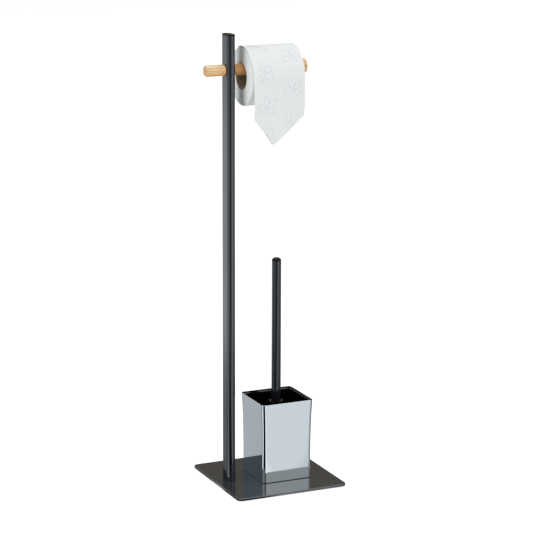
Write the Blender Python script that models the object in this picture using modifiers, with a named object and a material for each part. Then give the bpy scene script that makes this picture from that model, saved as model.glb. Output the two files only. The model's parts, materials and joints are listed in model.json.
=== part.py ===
"""Toilet butler stand, modelled piece by piece in metres, +Z up.

A square steel plate carries a flat-oval post with a wooden paper rod near its top,
and a polished square holder with a plastic liner for the toilet brush.
X runs to the right along the rod, Y runs to the back, and the front faces -Y.
The origin lies on the floor, in the middle of the object seen from above.
"""

from math import cos, pi, radians, sin, tan
from random import Random

import bmesh
import bpy
from mathutils import Vector

# Clearances and cutting
SEAT_GAP = 0.0003
CUT_OVERRUN = 0.001
MERGE_DISTANCE = 0.00001
SMOOTH_ANGLE = radians(32)

# Base plate and its feet
PLATE_WIDTH = 0.200
PLATE_DEPTH = 0.200
PLATE_THICKNESS = 0.004
PLATE_CORNER_RADIUS = 0.009
PLATE_EDGE_RADIUS = 0.0012
FOOT_RADIUS = 0.008
FOOT_THICKNESS = 0.0015
FOOT_EDGE_RADIUS = 0.0004
FOOT_INSET = 0.017

# Post, its top cap and the block inside its foot
POST_SIDE_DISTANCE = 0.0275
POST_BACK_SHIFT = 0.0044
POST_WIDTH = 0.015
POST_DEPTH = 0.030
POST_WALL = 0.0012
POST_HEIGHT = 0.7582
POST_CAP_THICKNESS = 0.002
POST_CAP_EDGE_RADIUS = 0.0006
POST_CAP_SKIRT_DEPTH = 0.012
POST_CAP_SKIRT_WALL = 0.0015
FOOT_BLOCK_HEIGHT = 0.022

# Screws: the post's pair, the holder's one and the peg's one
SCREW_RADIUS = 0.0025
SCREW_HEAD_RADIUS = 0.0046
SCREW_HEAD_HEIGHT = 0.0024
SCREW_SOCKET_RADIUS = 0.0017
SCREW_SOCKET_DEPTH = 0.0016
POST_SCREW_LENGTH = 0.018
POST_SCREW_SPACING = 0.014
SCREW_PROUD_LENGTH = 0.001
ROD_SCREW_RADIUS = 0.0014
ROD_SCREW_HEAD_RADIUS = 0.0028
ROD_SCREW_HEAD_HEIGHT = 0.0018
ROD_SCREW_DEPTH_IN_TENON = 0.006
ROD_SCREW_SOCKET_RADIUS = 0.0010
ROD_SCREW_SOCKET_DEPTH = 0.0009

# Wooden paper rod with its knob, and the peg whose tenon carries it through the post
ROD_RADIUS = 0.0094
ROD_LENGTH = 0.1302
ROD_DROP = 0.0589
ROD_SHOULDER_RADIUS = 0.0012
KNOB_RADIUS = 0.013
KNOB_LENGTH = 0.008
KNOB_EDGE_RADIUS = 0.0035
PEG_LENGTH = 0.035
PEG_END_RADIUS = 0.0035
TENON_RADIUS = 0.005
TENON_DEPTH_IN_ROD = 0.014

# Toilet roll and the sheet that hangs from it
CORE_BORE_RADIUS = 0.0213
CORE_WALL = 0.0008
ROLL_RADIUS = 0.0491
ROLL_WIDTH = 0.092
ROLL_EDGE_RADIUS = 0.002
ROLL_POST_DISTANCE = 0.0151
TAIL_THICKNESS = 0.0004
TAIL_WRAP_ANGLE = radians(110)
TAIL_SIDE_DROP = 0.0618
TAIL_TIP_DROP = 0.1067
TAIL_TIP_SHARE = 0.366

# Brush holder, its liner, and the screw, washer and nut that hold it down
HOLDER_RIGHT_SHIFT = 0.0139
HOLDER_FRONT_SHIFT = 0.0005
HOLDER_BASE_WIDTH = 0.0893
HOLDER_MOUTH_WIDTH = 0.0942
HOLDER_FLARE_HEIGHT = 0.130
HOLDER_FLARE_POWER = 3
HOLDER_HEIGHT = 0.1377
HOLDER_WALL = 0.0008
HOLDER_CORNER_RADIUS = 0.006
LINER_WALL = 0.0018
LINER_RECESS = 0.0035
POCKET_CLEARANCE = 0.001
POCKET_RADIUS = 0.0135
WASHER_RADIUS = 0.005
WASHER_THICKNESS = 0.001
NUT_CORNER_RADIUS = 0.0046
NUT_HEIGHT = 0.004

# Brush: head, bristles, collar, insert, handle and its end cap
BRUSH_LEFT_SHIFT = 0.0014
BRISTLE_LENGTH = 0.025
BRISTLE_THICKNESS_SHARE = 0.45
BRISTLE_TIP_SHARE = 0.75
BRISTLE_TOP_TILT = radians(14)
BRISTLE_SCATTER_SHARE = 0.04
STANDING_BRISTLE_SHARE = 0.85
BACKING_RADIUS = 0.009
BACKING_WALL = 0.0016
BACKING_LENGTH = 0.067
NECK_LENGTH = 0.0244
NECK_RADIUS = 0.0072
NECK_FLANGE_RADIUS = 0.0095
NECK_FLANGE_HEIGHT = 0.004
COLLAR_RADIUS = 0.0125
COLLAR_THICKNESS = 0.0028
COLLAR_EDGE_RADIUS = 0.001
HANDLE_RADIUS = 0.008
HANDLE_WALL = 0.001
HANDLE_LENGTH = 0.2436
HANDLE_CAP_HEIGHT = 0.0052
HANDLE_CAP_PLUG_DEPTH = 0.010
INSERT_LENGTH = 0.016
STUD_RADIUS = 0.003
STUD_LENGTH = 0.016

# How finely the round shapes are divided
ROUND_STEPS = 32
ROLL_STEPS = 64
SMALL_ROUND_STEPS = 20
CORNER_STEPS = 5
OVAL_END_STEPS = 14
FLARE_STEPS = 6
EDGE_STEPS = 2
WOOD_EDGE_STEPS = 4
DOME_STEPS = 5
HEX_SIDES = 6
BRISTLES_AROUND = 20
BRISTLE_ROWS = 17
DOME_BRISTLE_STRIDES = (1, 2, 5)

# Heights from the floor
PLATE_BOTTOM = FOOT_THICKNESS + SEAT_GAP
PLATE_TOP = PLATE_BOTTOM + PLATE_THICKNESS
POST_TOP = PLATE_TOP + POST_HEIGHT
POST_TUBE_BOTTOM = PLATE_TOP + SEAT_GAP
POST_TUBE_TOP = POST_TOP - POST_CAP_THICKNESS - SEAT_GAP
ROD_Z = POST_TOP - ROD_DROP
ROLL_Z = ROD_Z + ROD_RADIUS + SEAT_GAP - CORE_BORE_RADIUS
HOLDER_BOTTOM = PLATE_TOP + SEAT_GAP
HOLDER_FLOOR = HOLDER_BOTTOM + HOLDER_WALL
HOLDER_TOP = HOLDER_BOTTOM + HOLDER_HEIGHT
LINER_BOTTOM = HOLDER_FLOOR + SEAT_GAP
LINER_TOP = HOLDER_TOP - LINER_RECESS
WASHER_BOTTOM = HOLDER_FLOOR + SEAT_GAP
NUT_BOTTOM = WASHER_BOTTOM + WASHER_THICKNESS + SEAT_GAP
HOLDER_SCREW_TOP = NUT_BOTTOM + NUT_HEIGHT + SCREW_PROUD_LENGTH
POCKET_TOP = HOLDER_SCREW_TOP + POCKET_CLEARANCE
BOSS_TOP = POCKET_TOP + LINER_WALL
BRUSH_BOTTOM = BOSS_TOP + SEAT_GAP
BACKING_BOTTOM = BRUSH_BOTTOM + BRISTLE_LENGTH
DOME_CENTRE = BACKING_BOTTOM + BACKING_RADIUS
BACKING_TOP = BACKING_BOTTOM + BACKING_LENGTH
NECK_TOP = BACKING_TOP + SEAT_GAP + NECK_LENGTH
COLLAR_BOTTOM = NECK_TOP + SEAT_GAP
COLLAR_TOP = COLLAR_BOTTOM + COLLAR_THICKNESS
HANDLE_BOTTOM = COLLAR_TOP + SEAT_GAP
HANDLE_TOP = HANDLE_BOTTOM + HANDLE_LENGTH

# Places seen from above, measured from the middle of the plate
POST_X = POST_SIDE_DISTANCE - PLATE_WIDTH / 2
POST_Y = POST_BACK_SHIFT
PEG_LEFT_X = POST_X - POST_WIDTH / 2 - PEG_LENGTH
ROD_LEFT_X = POST_X + POST_WIDTH / 2 + SEAT_GAP
ROD_RIGHT_X = POST_X + POST_WIDTH / 2 + ROD_LENGTH
ROLL_X = POST_X + POST_WIDTH / 2 + ROLL_POST_DISTANCE + ROLL_WIDTH / 2
HOLDER_X = HOLDER_RIGHT_SHIFT
HOLDER_Y = -HOLDER_FRONT_SHIFT
BRUSH_X = HOLDER_X - BRUSH_LEFT_SHIFT

# The plate's middle is shifted so that the whole outline is centred on the origin.
LEFT_END = min(-PLATE_WIDTH / 2, PEG_LEFT_X)
RIGHT_END = max(PLATE_WIDTH / 2, ROD_RIGHT_X)
PLATE_CENTRE_X = -(LEFT_END + RIGHT_END) / 2

# Local +Z turned to world +X, and to world +Y
ALONG_X = (0, pi / 2, 0)
ALONG_Y = (-pi / 2, 0, 0)

# Finishes: colour, roughness, metallic
DARK_PAINT = ((0.035, 0.036, 0.040), 0.32, 0.0)
PLATE_PAINT = ((0.055, 0.053, 0.047), 0.30, 0.0)
POLISHED_STEEL = ((0.80, 0.82, 0.84), 0.06, 1.0)
ZINC = ((0.55, 0.56, 0.58), 0.35, 1.0)
BLACK_PLASTIC = ((0.012, 0.012, 0.013), 0.38, 0.0)
BRISTLE_PLASTIC = ((0.02, 0.02, 0.021), 0.55, 0.0)
RUBBER = ((0.02, 0.02, 0.02), 0.85, 0.0)
BEECH = ((0.72, 0.45, 0.20), 0.50, 0.0)
CARDBOARD = ((0.20, 0.15, 0.10), 0.90, 0.0)
TISSUE = ((0.78, 0.81, 0.81), 0.90, 0.0)


def clear_scene():
    for obj in list(bpy.data.objects):
        bpy.data.objects.remove(obj, do_unlink=True)


def add_collection(name):
    collection = bpy.data.collections.new(name)
    bpy.context.scene.collection.children.link(collection)
    return collection


def add_finish(name, finish):
    colour, roughness, metallic = finish
    material = bpy.data.materials.new(name)
    material.use_nodes = True
    shader = material.node_tree.nodes["Principled BSDF"]
    shader.inputs["Base Color"].default_value = (*colour, 1)
    shader.inputs["Roughness"].default_value = roughness
    shader.inputs["Metallic"].default_value = metallic
    material.diffuse_color = (*colour, 1)
    return material


def add_axis(name, location, parent=None):
    """An empty that carries pieces, at their seat or on the axis they move along."""
    empty = bpy.data.objects.new(name, None)
    empty.location = location
    empty.parent = parent
    empty.empty_display_size = SCREW_HEAD_RADIUS
    parts.objects.link(empty)
    return empty


def add_part(name, mesh, finish, parent, location=(0, 0, 0), rotation=(0, 0, 0)):
    part = bpy.data.objects.new(name, mesh)
    part.data.materials.append(add_finish(name, finish))
    part.location = location
    part.rotation_euler = rotation
    part.parent = parent
    parts.objects.link(part)
    return part


def add_cutter(name, mesh, parent, location=(0, 0, 0), rotation=(0, 0, 0)):
    cutter = bpy.data.objects.new(name, mesh)
    cutter.location = location
    cutter.rotation_euler = rotation
    cutter.parent = parent
    cutter.hide_render = True
    cutter.display_type = "WIRE"
    cutters.objects.link(cutter)
    return cutter


def combine(part, other, operation):
    """Cuts another solid from this one, or joins it on, in the order of the calls."""
    modifier = part.modifiers.new(other.name, "BOOLEAN")
    modifier.operation = operation
    modifier.solver = "EXACT"
    modifier.object = other


def settle(part):
    """Turns the modifiers' result into the part's own mesh, smooth except at its edges."""
    bpy.context.view_layer.update()
    seen = part.evaluated_get(bpy.context.evaluated_depsgraph_get())
    mesh = bpy.data.meshes.new_from_object(seen)
    mesh.name = part.name
    part.modifiers.clear()
    part.data = mesh
    mesh.shade_smooth()
    mesh.set_sharp_from_angle(angle=SMOOTH_ANGLE)
    return part


def arc(centre, radius, start, end, steps):
    """Points on a circle about a centre (radius, height), both ends included."""
    points = []
    for step in range(steps + 1):
        angle = start + (end - start) * step / steps
        points.append((centre[0] + radius * cos(angle), centre[1] + radius * sin(angle)))
    return points


def turned_mesh(name, profile, steps, closed=False):
    """A profile of (radius, height) points, running down its outer side, turned about Z."""
    mesh = bpy.data.meshes.new(name)
    edges = [(i, i + 1) for i in range(len(profile) - 1)]
    if closed:
        edges.append((len(profile) - 1, 0))
    mesh.from_pydata([(radius, 0, height) for radius, height in profile], edges, [])
    lathe = bpy.data.objects.new(name, mesh)
    parts.objects.link(lathe)
    screw = lathe.modifiers.new("turn", "SCREW")
    screw.angle = 2 * pi
    screw.steps = steps
    screw.render_steps = steps
    screw.use_merge_vertices = True
    screw.merge_threshold = MERGE_DISTANCE
    solid = settle(lathe).data
    bpy.data.objects.remove(lathe)
    bpy.data.meshes.remove(mesh)
    solid.name = name
    return solid


def ring_profile(outer, inner, low, high):
    return [(outer, high), (outer, low), (inner, low), (inner, high)]


def disc_profile(radius, low, high):
    return [(0, high), (radius, high), (radius, low), (0, low)]


def extruded_mesh(name, outlines, low, high):
    """A flat outline, with any inner outlines as holes, raised from one height to another."""
    curve = bpy.data.curves.new(name, "CURVE")
    curve.dimensions = "2D"
    curve.fill_mode = "BOTH"
    curve.extrude = (high - low) / 2
    for outline in outlines:
        spline = curve.splines.new("POLY")
        spline.points.add(len(outline) - 1)
        spline.use_cyclic_u = True
        for point, (x, y) in zip(spline.points, outline):
            point.co = (x, y, 0, 1)
    flat = bpy.data.objects.new(name, curve)
    flat.location.z = (low + high) / 2
    parts.objects.link(flat)
    return mesh_from_curve(flat)


def mesh_from_curve(curve_object):
    bpy.context.view_layer.update()
    seen = curve_object.evaluated_get(bpy.context.evaluated_depsgraph_get())
    mesh = bpy.data.meshes.new_from_object(seen)
    mesh.transform(curve_object.matrix_world)
    bm = bmesh.new()
    bm.from_mesh(mesh)
    bmesh.ops.remove_doubles(bm, verts=bm.verts, dist=MERGE_DISTANCE)
    bm.to_mesh(mesh)
    bm.free()
    bpy.data.objects.remove(curve_object)
    return mesh


def flat_oval(depth, width):
    """A flat oval along Y: two half circles joined by straight flanks."""
    radius = width / 2
    reach = depth / 2 - radius
    points = arc((0, reach), radius, 0, pi, OVAL_END_STEPS)
    points += arc((0, -reach), radius, pi, 2 * pi, OVAL_END_STEPS)
    return points


def circle(radius, steps):
    return arc((0, 0), radius, 0, 2 * pi, steps)[:-1]


def soften_rim(mesh, height, radius, steps):
    """Rounds the outer edge round the flat face at one height."""
    bm = bmesh.new()
    bm.from_mesh(mesh)
    rim = [
        edge
        for edge in bm.edges
        if all(abs(vert.co.z - height) < MERGE_DISTANCE for vert in edge.verts)
        and edge.calc_face_angle(0) > SMOOTH_ANGLE
    ]
    bmesh.ops.bevel(bm, geom=rim, offset=radius, segments=steps, profile=0.5, affect="EDGES")
    bm.to_mesh(mesh)
    bm.free()


def upright_block(name, width, depth, low, high, corner_radius):
    """A block whose four upright corners are rounded."""
    bm = bmesh.new()
    bmesh.ops.create_cube(bm, size=1)
    bmesh.ops.scale(bm, vec=(width, depth, high - low), verts=bm.verts)
    bmesh.ops.translate(bm, vec=(0, 0, (low + high) / 2), verts=bm.verts)
    upright = [
        edge for edge in bm.edges if edge.verts[0].co.xy == edge.verts[1].co.xy
    ]
    bmesh.ops.bevel(
        bm, geom=upright, offset=corner_radius, segments=CORNER_STEPS, profile=0.5, affect="EDGES"
    )
    mesh = bpy.data.meshes.new(name)
    bm.to_mesh(mesh)
    bm.free()
    return mesh


def screw_hole_mesh(name, length):
    """The cutter for a countersunk screw whose head face is the origin."""
    shank = SCREW_RADIUS + SEAT_GAP
    head = SCREW_HEAD_RADIUS + SEAT_GAP
    profile = [
        (0, length + CUT_OVERRUN),
        (shank, length + CUT_OVERRUN),
        (shank, SCREW_HEAD_HEIGHT),
        (head, 0),
        (head, -SEAT_GAP - CUT_OVERRUN),
        (0, -SEAT_GAP - CUT_OVERRUN),
    ]
    return turned_mesh(name, profile, SMALL_ROUND_STEPS)


def hex_socket_mesh(name, radius, depth):
    return extruded_mesh(name, [circle(radius, HEX_SIDES)], -CUT_OVERRUN, depth)


def add_countersunk_screw(name, length, place, frame):
    profile = [
        (0, length),
        (SCREW_RADIUS, length),
        (SCREW_RADIUS, SCREW_HEAD_HEIGHT),
        (SCREW_HEAD_RADIUS, 0),
        (0, 0),
    ]
    mesh = turned_mesh(name, profile, SMALL_ROUND_STEPS)
    screw = add_part(name, mesh, ZINC, frame, place)
    socket = add_cutter(
        name + "_socket",
        hex_socket_mesh(name + "_socket", SCREW_SOCKET_RADIUS, SCREW_SOCKET_DEPTH),
        frame,
        place,
    )
    combine(screw, socket, "DIFFERENCE")
    return settle(screw)


def post_screw_places():
    """The two screws under the post, by name, with their head faces just inside the plate."""
    height = PLATE_BOTTOM + SEAT_GAP
    half = POST_SCREW_SPACING / 2
    return {
        "post_screw_front": (POST_X, POST_Y - half, height),
        "post_screw_back": (POST_X, POST_Y + half, height),
    }


def holder_screw_place():
    return (HOLDER_X, HOLDER_Y, PLATE_BOTTOM + SEAT_GAP)


def add_base_plate(frame):
    mesh = upright_block(
        "base_plate", PLATE_WIDTH, PLATE_DEPTH, PLATE_BOTTOM, PLATE_TOP, PLATE_CORNER_RADIUS
    )
    soften_rim(mesh, PLATE_TOP, PLATE_EDGE_RADIUS, EDGE_STEPS + 1)
    plate = add_part("base_plate", mesh, PLATE_PAINT, frame)
    places = post_screw_places()
    places["holder_screw"] = holder_screw_place()
    for name, place in places.items():
        hole_name = name + "_hole"
        hole = add_cutter(hole_name, screw_hole_mesh(hole_name, PLATE_THICKNESS), frame, place)
        combine(plate, hole, "DIFFERENCE")
    settle(plate)


def add_feet(frame):
    x = PLATE_WIDTH / 2 - FOOT_INSET
    y = PLATE_DEPTH / 2 - FOOT_INSET
    edge = FOOT_EDGE_RADIUS
    rounded_edge = arc((FOOT_RADIUS - edge, edge), edge, 0, -pi / 2, EDGE_STEPS)
    profile = [(0, FOOT_THICKNESS), (FOOT_RADIUS, FOOT_THICKNESS), *rounded_edge, (0, 0)]
    places = {
        "foot_pad_front_left": (-x, -y, 0),
        "foot_pad_front_right": (x, -y, 0),
        "foot_pad_back_left": (-x, y, 0),
        "foot_pad_back_right": (x, y, 0),
    }
    for name, place in places.items():
        add_part(name, turned_mesh(name, profile, SMALL_ROUND_STEPS), RUBBER, frame, place)


def rod_screw_place():
    return (POST_X, POST_Y + POST_DEPTH / 2 + SEAT_GAP, ROD_Z)


def rod_screw_reach():
    """How far the screw goes in from under its head, into the peg's tenon."""
    return SEAT_GAP + POST_DEPTH / 2 - TENON_RADIUS + ROD_SCREW_DEPTH_IN_TENON


def add_post(frame):
    """The post's tube, drilled for the peg's tenon and for the screw that holds it."""
    outer = flat_oval(POST_DEPTH, POST_WIDTH)
    inner = flat_oval(POST_DEPTH - 2 * POST_WALL, POST_WIDTH - 2 * POST_WALL)
    mesh = extruded_mesh("post_tube", [outer, inner], POST_TUBE_BOTTOM, POST_TUBE_TOP)
    tube = add_part("post_tube", mesh, DARK_PAINT, frame, (POST_X, POST_Y, 0))
    half_hole = POST_WIDTH / 2 + CUT_OVERRUN
    profile = disc_profile(TENON_RADIUS + SEAT_GAP, -half_hole, half_hole)
    hole_mesh = turned_mesh("tenon_hole", profile, SMALL_ROUND_STEPS)
    hole = add_cutter("tenon_hole", hole_mesh, frame, (POST_X, POST_Y, ROD_Z), ALONG_X)
    combine(tube, hole, "DIFFERENCE")
    combine(tube, bpy.data.objects["rod_screw_hole"], "DIFFERENCE")
    settle(tube)


def add_rod_screw_hole(frame):
    hole_radius = ROD_SCREW_RADIUS + SEAT_GAP
    profile = disc_profile(hole_radius, -rod_screw_reach() - SEAT_GAP, CUT_OVERRUN)
    mesh = turned_mesh("rod_screw_hole", profile, SMALL_ROUND_STEPS)
    add_cutter("rod_screw_hole", mesh, frame, rod_screw_place(), ALONG_Y)


def add_post_cap(frame):
    """A flush plastic plug: a plate on the tube's end and a skirt down inside it."""
    bottom = POST_TUBE_TOP + SEAT_GAP
    outline = flat_oval(POST_DEPTH, POST_WIDTH)
    mesh = extruded_mesh("post_top_cap", [outline], bottom, POST_TOP)
    soften_rim(mesh, POST_TOP, POST_CAP_EDGE_RADIUS, EDGE_STEPS)
    cap = add_part("post_top_cap", mesh, BLACK_PLASTIC, frame, (POST_X, POST_Y, 0))
    inset = 2 * (POST_WALL + SEAT_GAP)
    inner_inset = inset + 2 * POST_CAP_SKIRT_WALL
    skirt_outlines = [
        flat_oval(POST_DEPTH - inset, POST_WIDTH - inset),
        flat_oval(POST_DEPTH - inner_inset, POST_WIDTH - inner_inset),
    ]
    skirt_mesh = extruded_mesh(
        "post_cap_skirt", skirt_outlines, bottom - POST_CAP_SKIRT_DEPTH, bottom + POST_CAP_THICKNESS / 2
    )
    skirt = add_cutter("post_cap_skirt", skirt_mesh, frame, (POST_X, POST_Y, 0))
    combine(cap, skirt, "UNION")
    settle(cap)


def add_foot_block(frame):
    """The block fixed inside the tube's foot, with a hole for each screw from below."""
    inset = 2 * (POST_WALL + SEAT_GAP)
    outline = flat_oval(POST_DEPTH - inset, POST_WIDTH - inset)
    top = POST_TUBE_BOTTOM + FOOT_BLOCK_HEIGHT
    mesh = extruded_mesh("post_foot_block", [outline], POST_TUBE_BOTTOM, top)
    block = add_part("post_foot_block", mesh, ZINC, frame, (POST_X, POST_Y, 0))
    for name, place in post_screw_places().items():
        hole_name = name + "_thread"
        profile = disc_profile(
            SCREW_RADIUS + SEAT_GAP, PLATE_THICKNESS, FOOT_BLOCK_HEIGHT + PLATE_THICKNESS + CUT_OVERRUN
        )
        hole = add_cutter(hole_name, turned_mesh(hole_name, profile, SMALL_ROUND_STEPS), frame, place)
        combine(block, hole, "DIFFERENCE")
    settle(block)


def add_post_screws(frame):
    for name, place in post_screw_places().items():
        add_countersunk_screw(name, POST_SCREW_LENGTH, place, frame)


def outer_edge(radius, height, edge):
    """The rounded edge where a turned piece's side meets its end, from the end outwards."""
    return arc((radius - edge, height - edge), edge, pi / 2, 0, WOOD_EDGE_STEPS)


def inner_edge(radius, height, edge):
    """The same edge at the piece's other end, from the side inwards."""
    return arc((radius - edge, height + edge), edge, 0, -pi / 2, WOOD_EDGE_STEPS)


def add_peg(frame):
    """The short peg on the post's left, with a tenon that goes through the post into the rod."""
    shoulder = PEG_LENGTH - SEAT_GAP
    tenon_end = PEG_LENGTH + POST_WIDTH + TENON_DEPTH_IN_ROD
    profile = [
        (0, tenon_end),
        (TENON_RADIUS, tenon_end),
        (TENON_RADIUS, shoulder),
        *outer_edge(ROD_RADIUS, shoulder, ROD_SHOULDER_RADIUS),
        *inner_edge(ROD_RADIUS, 0, PEG_END_RADIUS),
        (0, 0),
    ]
    mesh = turned_mesh("rod_peg", profile, ROUND_STEPS)
    peg = add_part("rod_peg", mesh, BEECH, frame, (PEG_LEFT_X, POST_Y, ROD_Z), ALONG_X)
    combine(peg, bpy.data.objects["rod_screw_hole"], "DIFFERENCE")
    settle(peg)


def add_rod(frame):
    """The wooden rod, bored for the tenon at the post, with a knob that keeps the roll on."""
    knob_start = ROD_RIGHT_X - ROD_LEFT_X - KNOB_LENGTH
    bore = TENON_RADIUS + SEAT_GAP
    bore_depth = TENON_DEPTH_IN_ROD
    profile = [
        (0, knob_start + KNOB_LENGTH),
        *outer_edge(KNOB_RADIUS, knob_start + KNOB_LENGTH, KNOB_EDGE_RADIUS),
        *inner_edge(KNOB_RADIUS, knob_start, KNOB_EDGE_RADIUS),
        (ROD_RADIUS, knob_start),
        *inner_edge(ROD_RADIUS, 0, ROD_SHOULDER_RADIUS),
        (bore, 0),
        (bore, bore_depth),
        (0, bore_depth),
    ]
    mesh = turned_mesh("paper_rod", profile, ROUND_STEPS)
    add_part("paper_rod", mesh, BEECH, frame, (ROD_LEFT_X, POST_Y, ROD_Z), ALONG_X)


def add_rod_screw(frame):
    """A small domed screw from the back of the post into the peg's tenon."""
    reach = rod_screw_reach()
    profile = [
        (0, ROD_SCREW_HEAD_HEIGHT),
        (ROD_SCREW_HEAD_RADIUS / 2, ROD_SCREW_HEAD_HEIGHT),
        (ROD_SCREW_HEAD_RADIUS, ROD_SCREW_HEAD_HEIGHT / 3),
        (ROD_SCREW_HEAD_RADIUS, 0),
        (ROD_SCREW_RADIUS, 0),
        (ROD_SCREW_RADIUS, ROD_SCREW_RADIUS - reach),
        (0, -reach),
    ]
    mesh = turned_mesh("rod_screw", profile, SMALL_ROUND_STEPS)
    screw = add_part("rod_screw", mesh, ZINC, frame, rod_screw_place(), ALONG_Y)
    socket_mesh = extruded_mesh(
        "rod_screw_socket",
        [circle(ROD_SCREW_SOCKET_RADIUS, HEX_SIDES)],
        ROD_SCREW_HEAD_HEIGHT - ROD_SCREW_SOCKET_DEPTH,
        ROD_SCREW_HEAD_HEIGHT + CUT_OVERRUN,
    )
    socket = add_cutter("rod_screw_socket", socket_mesh, frame, rod_screw_place(), ALONG_Y)
    combine(screw, socket, "DIFFERENCE")
    settle(screw)


def add_roll(axis):
    """The cardboard core hangs on the rod by its bore, with the paper wound on it."""
    half = ROLL_WIDTH / 2
    core_radius = CORE_BORE_RADIUS + CORE_WALL
    core = ring_profile(core_radius, CORE_BORE_RADIUS, -half, half)
    core_mesh = turned_mesh("roll_core", core, ROLL_STEPS, closed=True)
    add_part("roll_core", core_mesh, CARDBOARD, axis, rotation=ALONG_X)
    edge = ROLL_EDGE_RADIUS
    right_edge = arc((ROLL_RADIUS - edge, half - edge), edge, pi / 2, 0, EDGE_STEPS)
    left_edge = arc((ROLL_RADIUS - edge, edge - half), edge, 0, -pi / 2, EDGE_STEPS)
    inner_radius = core_radius + SEAT_GAP
    paper = [(inner_radius, half), *right_edge, *left_edge, (inner_radius, -half)]
    paper_mesh = turned_mesh("paper_roll", paper, ROLL_STEPS, closed=True)
    add_part("paper_roll", paper_mesh, TISSUE, axis, rotation=ALONG_X)


def add_paper_tail(axis):
    """The loose sheet: over the top of the roll, down its front, to a folded point."""
    radius = ROLL_RADIUS + SEAT_GAP
    half = ROLL_WIDTH / 2
    path = arc((0, 0), radius, pi - TAIL_WRAP_ANGLE, pi, ROLL_STEPS // 3)
    path.append((-radius, -TAIL_TIP_DROP))
    bm = bmesh.new()
    verts = [bm.verts.new((-half, y, z)) for y, z in path]
    edges = [bm.edges.new(pair) for pair in zip(verts, verts[1:])]
    swept = bmesh.ops.extrude_edge_only(bm, edges=edges)["geom"]
    moved = [item for item in swept if isinstance(item, bmesh.types.BMVert)]
    bmesh.ops.translate(bm, vec=(ROLL_WIDTH, 0, 0), verts=moved)
    tip = Vector((TAIL_TIP_SHARE * ROLL_WIDTH - half, -radius, -TAIL_TIP_DROP))
    for side in (-1, 1):
        corner = Vector((side * half, -radius, -TAIL_SIDE_DROP))
        along = tip - corner
        outward = Vector((-side * along.z, 0, side * along.x))
        bmesh.ops.bisect_plane(
            bm,
            geom=[*bm.verts, *bm.edges, *bm.faces],
            dist=MERGE_DISTANCE,
            plane_co=corner,
            plane_no=outward,
            clear_outer=True,
        )
    bmesh.ops.recalc_face_normals(bm, faces=bm.faces)
    if sum(face.normal.y * face.calc_area() for face in bm.faces) > 0:
        bmesh.ops.reverse_faces(bm, faces=bm.faces)
    mesh = bpy.data.meshes.new("paper_tail")
    bm.to_mesh(mesh)
    bm.free()
    tail = add_part("paper_tail", mesh, TISSUE, axis)
    sheet = tail.modifiers.new("sheet", "SOLIDIFY")
    sheet.thickness = TAIL_THICKNESS
    sheet.offset = 1
    sheet.use_even_offset = True
    settle(tail)


def holder_half_width(height):
    """Half the holder's outer width at a height: sides that flare ever faster to the mouth."""
    flare_start = HOLDER_TOP - HOLDER_FLARE_HEIGHT
    way_up = max(0, height - flare_start) / HOLDER_FLARE_HEIGHT
    widening = (HOLDER_MOUTH_WIDTH - HOLDER_BASE_WIDTH) * way_up**HOLDER_FLARE_POWER
    return (HOLDER_BASE_WIDTH + widening) / 2


def flared_cup_mesh(name, low, high, inset):
    """An open-topped square cup whose sides lie this far inside the holder's outer faces."""
    base_half = HOLDER_BASE_WIDTH / 2 - inset
    mesh = upright_block(name, 2 * base_half, 2 * base_half, low, high, HOLDER_CORNER_RADIUS - inset)
    bm = bmesh.new()
    bm.from_mesh(mesh)
    lid = [
        face for face in bm.faces if all(high - vert.co.z < MERGE_DISTANCE for vert in face.verts)
    ]
    bmesh.ops.delete(bm, geom=lid, context="FACES")
    flare_start = HOLDER_TOP - HOLDER_FLARE_HEIGHT
    for step in range(FLARE_STEPS):
        height = flare_start + (high - flare_start) * step / FLARE_STEPS
        bmesh.ops.bisect_plane(
            bm,
            geom=[*bm.verts, *bm.edges, *bm.faces],
            dist=MERGE_DISTANCE,
            plane_co=(0, 0, height),
            plane_no=(0, 0, 1),
        )
    for vert in bm.verts:
        widening = (holder_half_width(vert.co.z) - inset) / base_half
        vert.co.x *= widening
        vert.co.y *= widening
    bm.to_mesh(mesh)
    bm.free()
    return mesh


def thicken(part, wall):
    shell = part.modifiers.new("wall", "SOLIDIFY")
    shell.thickness = wall
    shell.offset = -1
    shell.use_even_offset = True


def add_holder_shell(frame):
    """The polished steel cup, screwed to the plate through its floor."""
    mesh = flared_cup_mesh("holder_shell", HOLDER_BOTTOM, HOLDER_TOP, 0)
    shell = add_part("holder_shell", mesh, POLISHED_STEEL, frame, (HOLDER_X, HOLDER_Y, 0))
    thicken(shell, HOLDER_WALL)
    profile = disc_profile(SCREW_RADIUS + SEAT_GAP, HOLDER_BOTTOM - CUT_OVERRUN, HOLDER_FLOOR + CUT_OVERRUN)
    hole_mesh = turned_mesh("holder_floor_hole", profile, SMALL_ROUND_STEPS)
    hole = add_cutter("holder_floor_hole", hole_mesh, frame, (HOLDER_X, HOLDER_Y, 0))
    combine(shell, hole, "DIFFERENCE")
    settle(shell)


def add_holder_fixing(frame):
    """The screw from below, and the washer and nut on the holder's floor."""
    place = holder_screw_place()
    add_countersunk_screw("holder_screw", HOLDER_SCREW_TOP - place[2], place, frame)
    bore = SCREW_RADIUS + SEAT_GAP
    washer = ring_profile(WASHER_RADIUS, bore, WASHER_BOTTOM, WASHER_BOTTOM + WASHER_THICKNESS)
    washer_mesh = turned_mesh("holder_washer", washer, SMALL_ROUND_STEPS, closed=True)
    add_part("holder_washer", washer_mesh, ZINC, frame, (HOLDER_X, HOLDER_Y, 0))
    outlines = [circle(NUT_CORNER_RADIUS, HEX_SIDES), circle(bore, SMALL_ROUND_STEPS)]
    nut_mesh = extruded_mesh("holder_nut", outlines, NUT_BOTTOM, NUT_BOTTOM + NUT_HEIGHT)
    add_part("holder_nut", nut_mesh, ZINC, frame, (HOLDER_X, HOLDER_Y, 0))


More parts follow.
